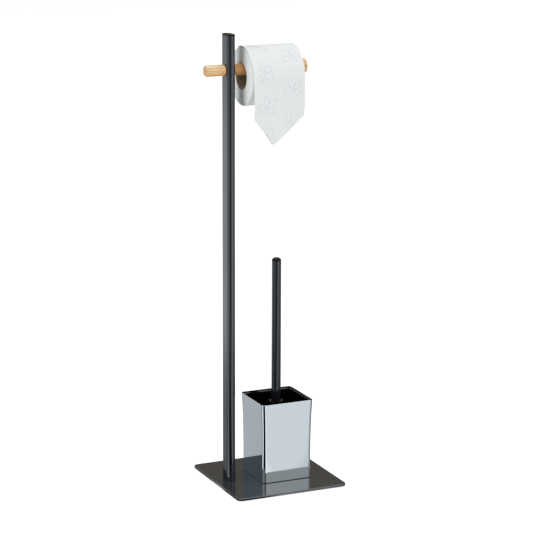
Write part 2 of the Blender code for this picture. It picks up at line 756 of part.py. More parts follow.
def add_liner(seat):
    """The lift-out plastic cup, with a raised pocket in its floor that clears the nut."""
    mesh = flared_cup_mesh("holder_liner", LINER_BOTTOM, LINER_TOP, HOLDER_WALL + SEAT_GAP)
    liner = add_part("holder_liner", mesh, BLACK_PLASTIC, seat)
    thicken(liner, LINER_WALL)
    boss_profile = disc_profile(POCKET_RADIUS + LINER_WALL, LINER_BOTTOM + LINER_WALL / 2, BOSS_TOP)
    boss = add_cutter("liner_boss", turned_mesh("liner_boss", boss_profile, SMALL_ROUND_STEPS), seat)
    combine(liner, boss, "UNION")
    pocket_profile = disc_profile(POCKET_RADIUS, LINER_BOTTOM - CUT_OVERRUN, POCKET_TOP)
    pocket = add_cutter("liner_pocket", turned_mesh("liner_pocket", pocket_profile, SMALL_ROUND_STEPS), seat)
    combine(liner, pocket, "DIFFERENCE")
    settle(liner)


def dome_down(radius, steps):
    """The lower half of a ball about the backing's dome centre, from its side to its pole."""
    points = arc((0, DOME_CENTRE), radius, 0, -pi / 2, steps)
    return [*points[:-1], (0, DOME_CENTRE - radius)]


def add_head_core(axis):
    """The moulded head: a flange under the collar, a neck, and a round-ended stem."""
    stem_radius = BACKING_RADIUS - BACKING_WALL - SEAT_GAP
    hole_radius = STUD_RADIUS + SEAT_GAP
    hole_bottom = COLLAR_BOTTOM - STUD_LENGTH
    shoulder = BACKING_TOP + SEAT_GAP
    profile = [
        (0, hole_bottom),
        (hole_radius, hole_bottom),
        (hole_radius, NECK_TOP),
        (NECK_FLANGE_RADIUS, NECK_TOP),
        (NECK_FLANGE_RADIUS, NECK_TOP - NECK_FLANGE_HEIGHT),
        (NECK_RADIUS, NECK_TOP - NECK_FLANGE_HEIGHT - NECK_FLANGE_RADIUS + NECK_RADIUS),
        (NECK_RADIUS, shoulder + BACKING_RADIUS - NECK_RADIUS),
        (BACKING_RADIUS, shoulder),
        (stem_radius, shoulder),
        *dome_down(stem_radius, DOME_STEPS),
    ]
    mesh = turned_mesh("brush_head_core", profile, ROUND_STEPS)
    add_part("brush_head_core", mesh, BLACK_PLASTIC, axis)


def backing_depth(point):
    """How far a point lies from the backing's centre line, or from its dome's centre."""
    drop = min(0, point.z - DOME_CENTRE)
    return Vector((point.x, point.y, drop)).length


def stagger_rings(bm, heights):
    """Turns every second ring of the outside by half a step, so that rows are staggered."""
    half_step = pi / BRISTLES_AROUND
    for vert in bm.verts:
        if backing_depth(vert.co) < BACKING_RADIUS - BACKING_WALL / 2:
            continue
        ring = min(range(len(heights)), key=lambda index: abs(heights[index] - vert.co.z))
        if ring % 2:
            x, y = vert.co.xy
            vert.co.x = x * cos(half_step) - y * sin(half_step)
            vert.co.y = x * sin(half_step) + y * cos(half_step)


def bristle_faces(bm, heights):
    """One triangle of each cell on the outside, with fewer of them towards the pole."""
    chosen = []
    for row in range(len(heights) - 1):
        middle = (heights[row] + heights[row + 1]) / 2
        dome_row = row - BRISTLE_ROWS
        stride = DOME_BRISTLE_STRIDES[dome_row] if dome_row >= 0 else 1
        cells = []
        for face in bm.faces:
            centre = face.calc_center_median()
            if backing_depth(centre) < BACKING_RADIUS - BACKING_WALL / 2:
                continue
            inside_row = heights[row + 1] < centre.z < heights[row]
            if inside_row and centre.z > middle:
                cells.append((Vector((1, 0)).angle_signed(centre.xy), face))
        cells.sort(key=lambda cell: cell[0])
        chosen += [face for _, face in cells[::stride]]
    return chosen


def bristle_direction(centre, scatter):
    """Straight out from the dome, or out and a little up towards the top of the head."""
    if centre.z < DOME_CENTRE:
        outward = centre - Vector((0, 0, DOME_CENTRE))
    else:
        rise = (centre.z - DOME_CENTRE) / (BACKING_TOP - DOME_CENTRE)
        outward = Vector((centre.x, centre.y, centre.xy.length * tan(BRISTLE_TOP_TILT * rise)))
    outward.normalize()
    most = BRISTLE_SCATTER_SHARE
    spread = [scatter.uniform(-most, most) for _ in range(3)]
    return (outward + Vector(spread)).normalized()


def draw_bristle(bm, face, scatter):
    """Draws one filament out of a face. Those under the pole end level, where the brush stands."""
    middle = face.calc_center_median()
    direction = bristle_direction(middle, scatter)
    stands = -direction.z > STANDING_BRISTLE_SHARE
    length = (BRUSH_BOTTOM - middle.z) / direction.z if stands else BRISTLE_LENGTH
    tip = bmesh.ops.extrude_discrete_faces(bm, faces=[face])["faces"][0]
    for vert in tip.verts:
        vert.co = middle + (vert.co - middle) * BRISTLE_TIP_SHARE + direction * length
        if stands:
            vert.co.z = BRUSH_BOTTOM


def add_bristles(axis):
    """Stiff filaments standing on a round-ended sleeve, drawn out of its own faces."""
    side = [BACKING_TOP - (BACKING_TOP - DOME_CENTRE) * row / BRISTLE_ROWS for row in range(BRISTLE_ROWS)]
    outside = [(BACKING_RADIUS, height) for height in side]
    outside += dome_down(BACKING_RADIUS, len(DOME_BRISTLE_STRIDES))
    inner_radius = BACKING_RADIUS - BACKING_WALL
    inside = dome_down(inner_radius, len(DOME_BRISTLE_STRIDES))[::-1]
    profile = [(inner_radius, BACKING_TOP), *outside]
    sleeve = [*profile, *inside, (inner_radius, BACKING_TOP)]
    mesh = turned_mesh("brush_bristles", sleeve, BRISTLES_AROUND)
    bm = bmesh.new()
    bm.from_mesh(mesh)
    bmesh.ops.remove_doubles(bm, verts=bm.verts, dist=MERGE_DISTANCE)
    heights = [height for _, height in outside]
    stagger_rings(bm, heights)
    bmesh.ops.triangulate(bm, faces=bm.faces, quad_method="SHORT_EDGE")
    faces = bristle_faces(bm, heights)
    scatter = Random(5)
    for face in faces:
        inset = BRISTLE_THICKNESS_SHARE * 2 * face.calc_area() / face.calc_perimeter()
        bmesh.ops.inset_individual(bm, faces=[face], thickness=inset, use_even_offset=True)
    for face in faces:
        draw_bristle(bm, face, scatter)
    bm.to_mesh(mesh)
    bm.free()
    add_part("brush_bristles", mesh, BRISTLE_PLASTIC, axis)
    print("bristle strands:", len(faces))


def add_collar(axis):
    """The disc between the head and the handle, which closes the joint."""
    edge = COLLAR_EDGE_RADIUS
    bore = STUD_RADIUS + SEAT_GAP
    upper = arc((COLLAR_RADIUS - edge, COLLAR_TOP - edge), edge, pi / 2, 0, EDGE_STEPS)
    lower = arc((COLLAR_RADIUS - edge, COLLAR_BOTTOM + edge), edge, 0, -pi / 2, EDGE_STEPS)
    profile = [(bore, COLLAR_TOP), *upper, *lower, (bore, COLLAR_BOTTOM)]
    mesh = turned_mesh("brush_collar", profile, ROUND_STEPS, closed=True)
    add_part("brush_collar", mesh, BLACK_PLASTIC, axis)


def add_handle(axis):
    """The tube, the stud insert in its foot and the domed plug in its top."""
    tube = ring_profile(HANDLE_RADIUS, HANDLE_RADIUS - HANDLE_WALL, HANDLE_BOTTOM, HANDLE_TOP)
    tube_mesh = turned_mesh("brush_handle_tube", tube, ROUND_STEPS, closed=True)
    add_part("brush_handle_tube", tube_mesh, DARK_PAINT, axis)
    plug_radius = HANDLE_RADIUS - HANDLE_WALL - SEAT_GAP
    insert = [
        (0, HANDLE_BOTTOM + INSERT_LENGTH),
        (plug_radius, HANDLE_BOTTOM + INSERT_LENGTH),
        (plug_radius, HANDLE_BOTTOM),
        (STUD_RADIUS, HANDLE_BOTTOM),
        (STUD_RADIUS, COLLAR_BOTTOM - STUD_LENGTH + SEAT_GAP),
        (0, COLLAR_BOTTOM - STUD_LENGTH + SEAT_GAP),
    ]
    insert_mesh = turned_mesh("brush_stud_insert", insert, SMALL_ROUND_STEPS)
    add_part("brush_stud_insert", insert_mesh, ZINC, axis)
    cap_bottom = HANDLE_TOP + SEAT_GAP
    dome = []
    for step in range(DOME_STEPS + 1):
        angle = pi / 2 * step / DOME_STEPS
        dome.append((HANDLE_RADIUS * sin(angle), cap_bottom + HANDLE_CAP_HEIGHT * cos(angle)))
    cap = [
        *dome,
        (plug_radius, cap_bottom),
        (plug_radius, cap_bottom - HANDLE_CAP_PLUG_DEPTH),
        (0, cap_bottom - HANDLE_CAP_PLUG_DEPTH),
    ]
    cap_mesh = turned_mesh("brush_end_cap", cap, ROUND_STEPS)
    add_part("brush_end_cap", cap_mesh, BLACK_PLASTIC, axis)


clear_scene()
parts = add_collection("toilet_butler_stand")
cutters = add_collection("cutters")
stand = add_axis("stand_frame", (PLATE_CENTRE_X, 0, 0))
add_base_plate(stand)
add_feet(stand)
add_rod_screw_hole(stand)
add_post(stand)
add_post_cap(stand)
add_foot_block(stand)
add_post_screws(stand)
add_peg(stand)
add_rod(stand)
add_rod_screw(stand)
add_holder_shell(stand)
add_holder_fixing(stand)
add_liner(add_axis("liner_seat", (HOLDER_X, HOLDER_Y, 0), stand))
brush = add_axis("brush_axis", (BRUSH_X, HOLDER_Y, 0), stand)
add_head_core(brush)
add_bristles(brush)
add_collar(brush)
add_handle(brush)
roll = add_axis("roll_axis", (ROLL_X, POST_Y, ROLL_Z), stand)
add_roll(roll)
add_paper_tail(roll)
print("plate centre x:", PLATE_CENTRE_X, "roll axis:", PLATE_CENTRE_X + ROLL_X, POST_Y, ROLL_Z)
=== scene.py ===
# %% [markdown]
# # Toilet butler stand: the looks
# A steel plate carries a flat-oval post with a wooden rod for the toilet roll, and a polished square
# holder with a black liner and a long-handled brush. The construction is loaded as a fixed frame. This
# file gives each piece its finish, and makes anew the pieces whose surface the frame only sketches: the
# wound paper, its loose sheet, the mirror-bright holder and the bristles.

# %% Load the frame
import json
from math import cos, pi, radians, sin, sqrt

import bmesh
import bpy
from mathutils import Matrix, Vector

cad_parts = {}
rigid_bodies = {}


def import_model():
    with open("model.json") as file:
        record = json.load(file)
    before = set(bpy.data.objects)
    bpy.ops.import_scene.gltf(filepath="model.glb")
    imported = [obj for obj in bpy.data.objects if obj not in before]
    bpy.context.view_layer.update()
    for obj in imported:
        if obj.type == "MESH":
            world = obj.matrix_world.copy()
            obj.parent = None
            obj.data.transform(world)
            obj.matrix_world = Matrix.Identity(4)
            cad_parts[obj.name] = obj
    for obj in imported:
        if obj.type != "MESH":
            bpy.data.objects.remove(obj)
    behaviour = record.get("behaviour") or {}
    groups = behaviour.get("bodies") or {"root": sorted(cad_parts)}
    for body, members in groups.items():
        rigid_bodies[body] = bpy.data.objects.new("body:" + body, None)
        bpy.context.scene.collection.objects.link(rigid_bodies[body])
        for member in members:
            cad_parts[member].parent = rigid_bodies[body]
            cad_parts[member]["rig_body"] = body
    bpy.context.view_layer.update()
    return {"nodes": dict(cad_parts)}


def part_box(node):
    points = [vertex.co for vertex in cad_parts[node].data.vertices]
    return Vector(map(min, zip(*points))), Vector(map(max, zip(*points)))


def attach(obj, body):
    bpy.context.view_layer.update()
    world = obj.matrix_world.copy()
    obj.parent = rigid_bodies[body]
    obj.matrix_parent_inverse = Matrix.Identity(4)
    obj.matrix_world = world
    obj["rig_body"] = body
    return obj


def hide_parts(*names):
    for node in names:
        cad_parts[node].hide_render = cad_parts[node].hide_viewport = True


for leftover in list(bpy.data.objects):
    bpy.data.objects.remove(leftover)
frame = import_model()

# %% [markdown]
# ## The camera
# The photograph was taken with a long lens from the front left, a little above the stand. The camera's
# place and turn were solved from the corners of the square plate and of the holder, so the same corners
# fall on the same pixels here. The place is measured from the middle of the plate. The photograph is
# square: one lens length sets both directions.

# %% Place the camera
CAMERA_FROM_PLATE = (-1.43332, -3.15546, 1.17535)
CAMERA_YAW = radians(24.44)
CAMERA_PITCH = radians(13.164)
CAMERA_ROLL = radians(0.178)
CAMERA_LENS = 141.59
SENSOR_WIDTH = 36.0


def box_facts(node):
    """A node's middle, its lowest corner and its size."""
    low, high = (Vector(corner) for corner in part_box(node))
    return (low + high) / 2, low, high - low


def place_object(name, data):
    """A new object in the scene."""
    placed = bpy.data.objects.new(name, data)
    bpy.context.scene.collection.objects.link(placed)
    return placed


def add_camera():
    """The photograph's camera: level turn, then downward tilt, then the slight roll."""
    data = bpy.data.cameras.new("photo_camera")
    data.sensor_width = SENSOR_WIDTH
    data.lens = CAMERA_LENS
    camera = place_object("photo_camera", data)
    turn = Matrix.Rotation(-CAMERA_YAW, 4, "Z")
    tilt = Matrix.Rotation(pi / 2 - CAMERA_PITCH, 4, "X")
    roll = Matrix.Rotation(CAMERA_ROLL, 4, "Z")
    plate = box_facts("base_plate")[0]
    place = Vector(CAMERA_FROM_PLATE) + Vector((plate.x, plate.y, 0))
    camera.matrix_world = Matrix.Translation(place) @ turn @ tilt @ roll
    return camera


bpy.context.scene.camera = add_camera()
print("camera distance in m:", round(Vector(CAMERA_FROM_PLATE).length, 3))

# %% [markdown]
# ## Writing node trees as expressions
# A finish is mostly arithmetic on positions and noises. Laid out node by node, that arithmetic is hard to
# read, so a small class wraps a socket and lets Python's operators add the Math nodes. The operators are
# all alike, so one function makes them. One method makes every other node from its type, its settings and
# the values or links of its sockets.


# %% A socket that does arithmetic
def math_node(operation, reflected=False):
    """A method that adds a Math node. The reflected form puts the other value first."""
    def method(self, *others):
        values = (*others, self) if reflected else (self, *others)
        sockets = dict(zip(("Value", "Value_001"), values))
        return self.recipe.add("ShaderNodeMath", {"operation": operation}, sockets)

    return method


class Wire:
    """An output socket on which Python's operators work."""

    __add__ = math_node("ADD")
    __radd__ = math_node("ADD", reflected=True)
    __sub__ = math_node("SUBTRACT")
    __rsub__ = math_node("SUBTRACT", reflected=True)
    __mul__ = math_node("MULTIPLY")
    __rmul__ = math_node("MULTIPLY", reflected=True)
    __truediv__ = math_node("DIVIDE")
    __rtruediv__ = math_node("DIVIDE", reflected=True)
    __pow__ = math_node("POWER")
    __abs__ = math_node("ABSOLUTE")
    sine = math_node("SINE")
    cosine = math_node("COSINE")
    arcsine = math_node("ARCSINE")
    arctangent = math_node("ARCTAN2")
    root = math_node("SQRT")
    whole = math_node("FLOOR")
    nearest = math_node("ROUND")
    remainder = math_node("FLOORED_MODULO")
    is_under = math_node("LESS_THAN")
    at_least = math_node("MAXIMUM")
    at_most = math_node("MINIMUM")

    def __init__(self, recipe, socket):
        self.recipe = recipe
        self.socket = socket

    def out(self, name):
        """Another output of the same node."""
        return Wire(self.recipe, find_socket(self.socket.node.outputs, name))

    def step(self, low, high):
        """Rises smoothly from 0 at low to 1 at high. With low above high it falls."""
        ends = {"Value": self, "From Min": low, "From Max": high}
        return self.recipe.add("ShaderNodeMapRange", {"interpolation_type": "SMOOTHSTEP"}, ends)

    def band(self, low, high, edge):
        """1 between low and high, with soft edges of that width outside."""
        return self.step(low - edge, low) * self.step(high + edge, high)

    def as_share(self):
        """A sine's swing from -1 to 1, moved to run from 0 to 1."""
        return self * 0.5 + 0.5


print("sockets do arithmetic now")


# %% A tree that is written down
def find_socket(sockets, name=None):
    """The socket of that name or identifier, or the first one, among those in use."""
    for socket in sockets:
        if socket.enabled and (name is None or name in (socket.name, socket.identifier)):
            return socket
    raise KeyError(name)


def set_stops(ramp, stops):
    """Gives a colour ramp its stops, each a position and a colour."""
    while len(ramp.elements) < len(stops):
        ramp.elements.new(1.0)
    for element, (position, colour) in zip(ramp.elements, stops):
        element.position = position
        element.color = colour


class Recipe:
    """A node tree while it is written."""

    def __init__(self, tree):
        self.tree = tree
        tree.nodes.clear()

    def add(self, kind, settings=None, sockets=None):
        """One node: its settings first, then its sockets' values or links."""
        node = self.tree.nodes.new(kind)
        for name, value in (settings or {}).items():
            if name == "stops":
                set_stops(node.color_ramp, value)
            else:
                setattr(node, name, value)
        for name, value in (sockets or {}).items():
            socket = find_socket(node.inputs, name)
            if isinstance(value, Wire):
                self.tree.links.new(value.socket, socket)
            else:
                socket.default_value = value
        return Wire(self, find_socket(node.outputs) if node.outputs else None)

    def noise(self, place, scale, detail=2.0):
        """A smooth noise from 0 to 1, with so many bumps to the metre, or so many along each axis."""
        if isinstance(scale, tuple):
            place = self.add("ShaderNodeMapping", {}, {"Vector": place, "Scale": scale})
            scale = 1.0
        return self.add("ShaderNodeTexNoise", {}, {"Vector": place, "Scale": scale, "Detail": detail})

    def tint(self, share, first, second):
        """The first colour where share is 0, the second where it is 1."""
        return self.add("ShaderNodeMix", {"data_type": "RGBA"}, {"Factor": share, "A": first, "B": second})

    def parts(self, place):
        """A place's three parts, along X, Y and Z."""
        split = self.add("ShaderNodeSeparateXYZ", {}, {"Vector": place})
        return [split.out(axis) for axis in "XYZ"]

    def point(self, along_x, along_y, along_z):
        """A vector from its three parts."""
        return self.add("ShaderNodeCombineXYZ", {}, {"X": along_x, "Y": along_y, "Z": along_z})

    def vector(self, operation, first, second=None, share=None):
        """One Vector Math node."""
        sockets = {"Vector": first, "Vector_001": second, "Scale": share}
        sockets = {name: value for name, value in sockets.items() if value is not None}
        return self.add("ShaderNodeVectorMath", {"operation": operation}, sockets)

    def position(self):
        """Where each point of a shape is."""
        return self.add("GeometryNodeInputPosition")

    def join(self, *parts):
        """Several geometries as one."""
        joined = self.add("GeometryNodeJoinGeometry")
        for part in parts:
            self.tree.links.new(part.socket, joined.socket.node.inputs[0])
        return joined

    def bump(self, height, depth, under=None):
        """Tilts the surface as a relief of that depth in metres would."""
        sockets = {"Height": height, "Distance": depth, "Strength": 1.0}
        if under is not None:
            sockets["Normal"] = under
        return self.add("ShaderNodeBump", {}, sockets)


print("trees can be written down now")


# %% A material around its recipe
NOISE_MIDDLE = 0.5


def rgb(red, green, blue):
    """An opaque colour."""
    return (red, green, blue, 1.0)


def grey(level):
    """An opaque grey."""
    return rgb(level, level, level)


def shaded(colour, factor):
    """An opaque colour that is so much lighter or darker."""
    return rgb(*(part * factor for part in colour))


def new_material(name):
    """A new material and its empty recipe."""
    material = bpy.data.materials.new(name)
    material.use_nodes = True
    return material, Recipe(material.node_tree)


def make_finish(name, write, **facts):
    """A material whose surface gets the sockets that a function writes for a place on the piece."""
    material, recipe = new_material(name)
    place = recipe.add("ShaderNodeTexCoord").out("Object")
    surface = recipe.add("ShaderNodeBsdfPrincipled", {}, write(recipe, place, **facts))
    recipe.add("ShaderNodeOutputMaterial", {}, {"Surface": surface})
    return material


print("finishes can be made now")

# %% [markdown]
# ## The studio
# The stand is anthracite and chrome, so most of what it shows is what it mirrors. A camera that looks down
# sees upright steel mirror what lies low: the floor, further out the higher the place on the steel. So the
# floor answers mirrored rays with a room of its own, written by direction in two tables: one for the floor
# near the stand, which the holder mirrors, and one for the floor further out, which the post mirrors. Both
# have a bright left, a bright right and a dark stretch between them where the camera stands. Several
# metres out the mirrored floor fades a little. Every other ray meets plain matt white, and the camera sees
# white, darkened only where the stand shades the floor.

# %% The room's lights by direction
FAR_ROOM = (
    (-180, 0.80), (-155, 1.02), (-135, 1.12), (-115, 1.10), (-95, 0.84), (-75, 0.70), (-55, 0.48),
    (-35, 0.24), (-20, 0.02), (-10, 0.02), (2, 0.75), (14, 1.15), (30, 1.20), (44, 0.90), (56, 0.28),
    (74, 0.36), (90, 0.85), (120, 0.50), (155, 0.30), (180, 0.80),
)
NEAR_ROOM = (
    (-180, 0.44), (-155, 0.45), (-140, 0.42), (-126, 0.28), (-110, 0.30), (-96, 0.85), (-87, 1.20),
    (-78, 1.20), (-71, 0.00), (-23, 0.00), (-16, 0.45), (-8, 1.00), (4, 0.95), (14, 0.71), (32, 0.70),
    (50, 0.34), (90, 0.18), (120, 0.20), (155, 0.26), (180, 0.42),
)
NEAR_FLOOR = 0.45
FAR_FLOOR = 1.25
FADE_START = 3.0
FADE_END = 6.0
FADE_SHARE = 0.30
HORIZON_LIFT = radians(4)
BEHIND_LEFT = rgb(0.102, 0.141, 0.190)
BEHIND_RIGHT = rgb(0.186, 0.166, 0.141)
BEHIND_TURN = (radians(95), radians(125))
BEHIND_BLEND = 0.1
SIDE_LIGHT_TOP = radians(38)
BEHIND_TOP = radians(18.5)
CEILING_START = radians(40)
CEILING_LEVEL = 1.30
ROOM_SHARE = 0.73
DIM = 0.075
EDGE = radians(7)


def read_table(recipe, turn, table):
    """A table's level at a turn from the front, in radians: left is negative."""
    stops = [((degrees + 180) / 360, grey(level)) for degrees, level in table]
    return recipe.add("ShaderNodeValToRGB", {"stops": stops}, {"Fac": turn / (2 * pi) + 0.5})


def turn_and_height(recipe, place):
    """A place's turn round the stand from its front, and its height."""
    rightwards, backwards, height = recipe.parts(place)
    return rightwards.arctangent(backwards * -1), height


print("room levels written down:", len(FAR_ROOM) + len(NEAR_ROOM))

# %% The world
MIRRORED_COLOUR = rgb(0.87, 0.945, 1.0)
MATT_COLOUR = rgb(0.985, 0.99, 0.995)
WHITE = grey(1.0)


def write_room():
    """White to the camera, and a softly lit room to everything else."""
    world = bpy.data.worlds.new("studio")
    world.use_nodes = True
    bpy.context.scene.world = world
    recipe = Recipe(world.node_tree)
    turn, height = turn_and_height(recipe, recipe.add("ShaderNodeTexCoord").out("Generated"))
    lift = height.arcsine()
    side_light = lift.step(SIDE_LIGHT_TOP + EDGE, SIDE_LIGHT_TOP) * ROOM_SHARE
    sides = read_table(recipe, turn, FAR_ROOM) * side_light
    ceiling = lift.step(CEILING_START, CEILING_START + EDGE * 2) * CEILING_LEVEL
    rays = recipe.add("ShaderNodeLightPath")
    colour = recipe.tint(rays.out("Is Glossy Ray"), MATT_COLOUR, MIRRORED_COLOUR)
    front = recipe.vector("SCALE", colour, share=DIM + sides + ceiling)
    behind = abs(turn).step(*BEHIND_TURN) * lift.band(-HORIZON_LIFT, BEHIND_TOP, EDGE)
    back = recipe.tint(turn.step(-BEHIND_BLEND, BEHIND_BLEND), BEHIND_LEFT, BEHIND_RIGHT)
    both_sides = recipe.tint(behind, front, back)
    room = recipe.add("ShaderNodeBackground", {}, {"Color": both_sides, "Strength": 1.0})
    white = recipe.add("ShaderNodeBackground", {}, {"Color": WHITE, "Strength": 1.0})
    seen = rays.out("Is Camera Ray").at_least(rays.out("Is Transmission Ray"))
    both = {"Fac": seen, "Shader": room, "Shader_001": white}
    recipe.add("ShaderNodeOutputWorld", {}, {"Surface": recipe.add("ShaderNodeMixShader", {}, both)})


write_room()
print("room: dim level", DIM)

# %% The floor
FLOOR_SIZE = 14.0
MATT_SHARE = 0.86
SHADE_SHARE = 0.42
WHITE_SHARE = 0.80


def write_floor(recipe):
    """White with the stand's shade to the camera, the room to mirrors, matt white to the rest."""
    rays = recipe.add("ShaderNodeLightPath")
    place = recipe.add("ShaderNodeTexCoord").out("Object")
    turn, height = turn_and_height(recipe, place)
    distance = recipe.vector("LENGTH", place).out("Value")
    far = read_table(recipe, turn, FAR_ROOM)
    near = read_table(recipe, turn, NEAR_ROOM)
    level = recipe.tint(distance.step(NEAR_FLOOR, FAR_FLOOR), near, far)
    fade = 1.0 - distance.step(FADE_START, FADE_END) * FADE_SHARE
    mirrored = recipe.add("ShaderNodeEmission", {}, {"Color": MIRRORED_COLOUR, "Strength": level * fade})
    matt = recipe.add("ShaderNodeBsdfDiffuse", {}, {"Color": grey(MATT_SHARE)})
    shade = recipe.add("ShaderNodeBsdfDiffuse", {}, {"Color": grey(SHADE_SHARE)})
    glow = recipe.add("ShaderNodeEmission", {}, {"Color": WHITE, "Strength": WHITE_SHARE})
    seen = recipe.add("ShaderNodeAddShader", {}, {"Shader": shade, "Shader_001": glow})
    lit = {"Fac": rays.out("Is Glossy Ray"), "Shader": matt, "Shader_001": mirrored}
    lit = recipe.add("ShaderNodeMixShader", {}, lit)
    both = {"Fac": rays.out("Is Camera Ray"), "Shader": lit, "Shader_001": seen}
    return recipe.add("ShaderNodeMixShader", {}, both)


def plain_mesh(bm, name):
    """A mesh of that name from a bmesh that is finished."""
    mesh = bpy.data.meshes.new(name)
    bm.to_mesh(mesh)
    bm.free()
    return mesh


def add_floor():
    """A pale floor under the pads."""
    bm = bmesh.new()
    bmesh.ops.create_grid(bm, x_segments=1, y_segments=1, size=FLOOR_SIZE / 2)
    floor = place_object("floor", plain_mesh(bm, "floor"))
    material, recipe = new_material("floor")
    recipe.add("ShaderNodeOutputMaterial", {}, {"Surface": write_floor(recipe)})
    material.cycles.emission_sampling = "NONE"
    floor.data.materials.append(material)


add_floor()
print("floor:", FLOOR_SIZE, "m")

# %% The lamps
LAMP_AIM = (0.0, 0.0, 0.45)
KEY_PLACE = (1.4, -2.3, 2.1)
KEY_SIZE = 1.4
KEY_POWER = 33.0
FILL_PLACE = (-2.3, 0.05, 1.0)
FILL_SIZE = 2.3
FILL_POWER = 32.0


def add_lamp(name, place, size, power):
    """A square soft light that faces the stand. Mirrors show the room's lights in its stead."""
    data = bpy.data.lights.new(name, "AREA")
    data.shape = "SQUARE"
    data.size = size
    data.energy = power
    lamp = place_object(name, data)
    facing = (Vector(LAMP_AIM) - Vector(place)).to_track_quat("-Z", "Y")
    lamp.matrix_world = Matrix.Translation(place) @ facing.to_matrix().to_4x4()
    lamp.visible_glossy = False


add_lamp("key_softbox", KEY_PLACE, KEY_SIZE, KEY_POWER)
add_lamp("left_softbox", FILL_PLACE, FILL_SIZE, FILL_POWER)
bpy.context.scene.view_settings.view_transform = "Standard"
print("lamps in W:", KEY_POWER, FILL_POWER)

# %% [markdown]
# ## Powder-coated steel
# The post and the brush handle are anthracite, the plate a warmer dark grey. Powder coat melts into a
# smooth skin with a faint orange peel: soft bumps about two millimetres across and a few microns deep,
# with fine darker specks of pigment. Modelled bumps of that size would take millions of faces, so the peel
# goes into the normal, and the specks into colour and roughness.


# %% Powder coat
PEEL_SCALE = 420.0
PEEL_DEPTH = 0.000004
SPECK_SCALE = 2600.0
SPECK_ONSET = (0.60, 0.74)
SPECK_DARKENING = 0.6
HAZE_SCALE = 22.0
HAZE_ONSET = (0.3, 0.7)
HAZE_LIGHTENING = 1.25
COAT_MARK_SHARE = 0.5
COAT_MARK_ROUGHNESS = 0.03


def powder_coat(recipe, place, colour, roughness, ior):
    """A dark satin coat with orange peel and pigment specks."""
    peel = recipe.noise(place, PEEL_SCALE, detail=1.0)
    specks = recipe.noise(place, SPECK_SCALE, detail=1.0).step(*SPECK_ONSET)
    haze = recipe.noise(place, HAZE_SCALE, detail=3.0)
    lighter = shaded(colour, HAZE_LIGHTENING)
    body = recipe.tint(haze.step(*HAZE_ONSET) * COAT_MARK_SHARE, rgb(*colour), lighter)
    rougher = (haze - NOISE_MIDDLE) * COAT_MARK_ROUGHNESS
    return {
        "Base Color": recipe.tint(specks * COAT_MARK_SHARE, body, shaded(colour, SPECK_DARKENING)),
        "Roughness": roughness + rougher + specks * COAT_MARK_ROUGHNESS,
        "IOR": ior,
        "Normal": recipe.bump(peel, PEEL_DEPTH),
    }


POST_COAT = {"colour": (0.0065, 0.0070, 0.0090), "roughness": 0.11, "ior": 2.0}
HANDLE_COAT = {"colour": (0.0065, 0.0075, 0.0095), "roughness": 0.12, "ior": 1.75}
PLATE_COAT = {"colour": (0.020, 0.021, 0.022), "roughness": 0.09, "ior": 2.2}
POST_PAINT = make_finish("anthracite_powder_coat", powder_coat, **POST_COAT)
HANDLE_PAINT = make_finish("handle_powder_coat", powder_coat, **HANDLE_COAT)
PLATE_PAINT = make_finish("warm_grey_powder_coat", powder_coat, **PLATE_COAT)
print("powder coats ready, peel in microns:", round(PEEL_DEPTH * 1e6, 1))

# %% [markdown]
# ## Polished steel
# The holder is folded sheet, polished to a mirror. It is almost without colour of its own, so its truth
# lies in the small faults: a slow waviness of the sheet, which bends what it mirrors, and a breath of
# fine wiping marks that roughens it a little here and there. A perfect mirror would look drawn.


# %% Mirror polish
WAVE_SCALE = 16.0
WAVE_DEPTH = 0.00022
WIPE_SCALE = (40.0, 40.0, 400.0)
WIPE_ROUGHNESS = 0.02
SMUDGE_SCALE = 30.0
SMUDGE_ONSET = (0.45, 0.8)
SMUDGE_SHARE = 0.3
SMUDGE_ROUGHNESS = 0.03
POLISH_ROUGHNESS = 0.035
POLISH_COLOUR = rgb(0.93, 0.955, 0.955)
SMUDGED_COLOUR = rgb(0.87, 0.895, 0.895)


def mirror_steel(recipe, place):
    """Bright sheet metal with a slow wave and faint wiping marks."""
    wave = recipe.noise(place, WAVE_SCALE, detail=0.0)
    wiped = recipe.noise(place, WIPE_SCALE, detail=4.0)
    smudge = recipe.noise(place, SMUDGE_SCALE, detail=4.0).step(*SMUDGE_ONSET)
    return {
        "Base Color": recipe.tint(smudge * SMUDGE_SHARE, POLISH_COLOUR, SMUDGED_COLOUR),
        "Metallic": 1.0,
        "Roughness": POLISH_ROUGHNESS + smudge * SMUDGE_ROUGHNESS + wiped * WIPE_ROUGHNESS,
        "Normal": recipe.bump(wave, WAVE_DEPTH),
    }


POLISHED = make_finish("mirror_polished_steel", mirror_steel)
print("polish ready, wave in mm:", WAVE_DEPTH * 1000)

# %% [markdown]
# ## Plastics, rubber and zinc
# The liner, the caps and the collar are black mouldings with the fine spark-eroded texture of their
# mould. The liner and the collar are of a duller black with a warm shine. The bristles are extruded
# filament. The pads are soft matt rubber, and the hidden screws are zinc plated with a faint yellow and
# blue drift. One function makes all three black plastics, because only their numbers differ.


# %% Mouldings and filament
MOULD_GRAIN_SCALE = 3200.0
MOULD_GRAIN_DEPTH = 0.00001
FLOW_SCALE = 60.0
FLOW_LIGHTENING = 1.5
FLOW_ROUGHNESS = 0.08
PLAIN_SHINE = 0.5
WARM_GLINT = rgb(1.0, 0.82, 0.60)


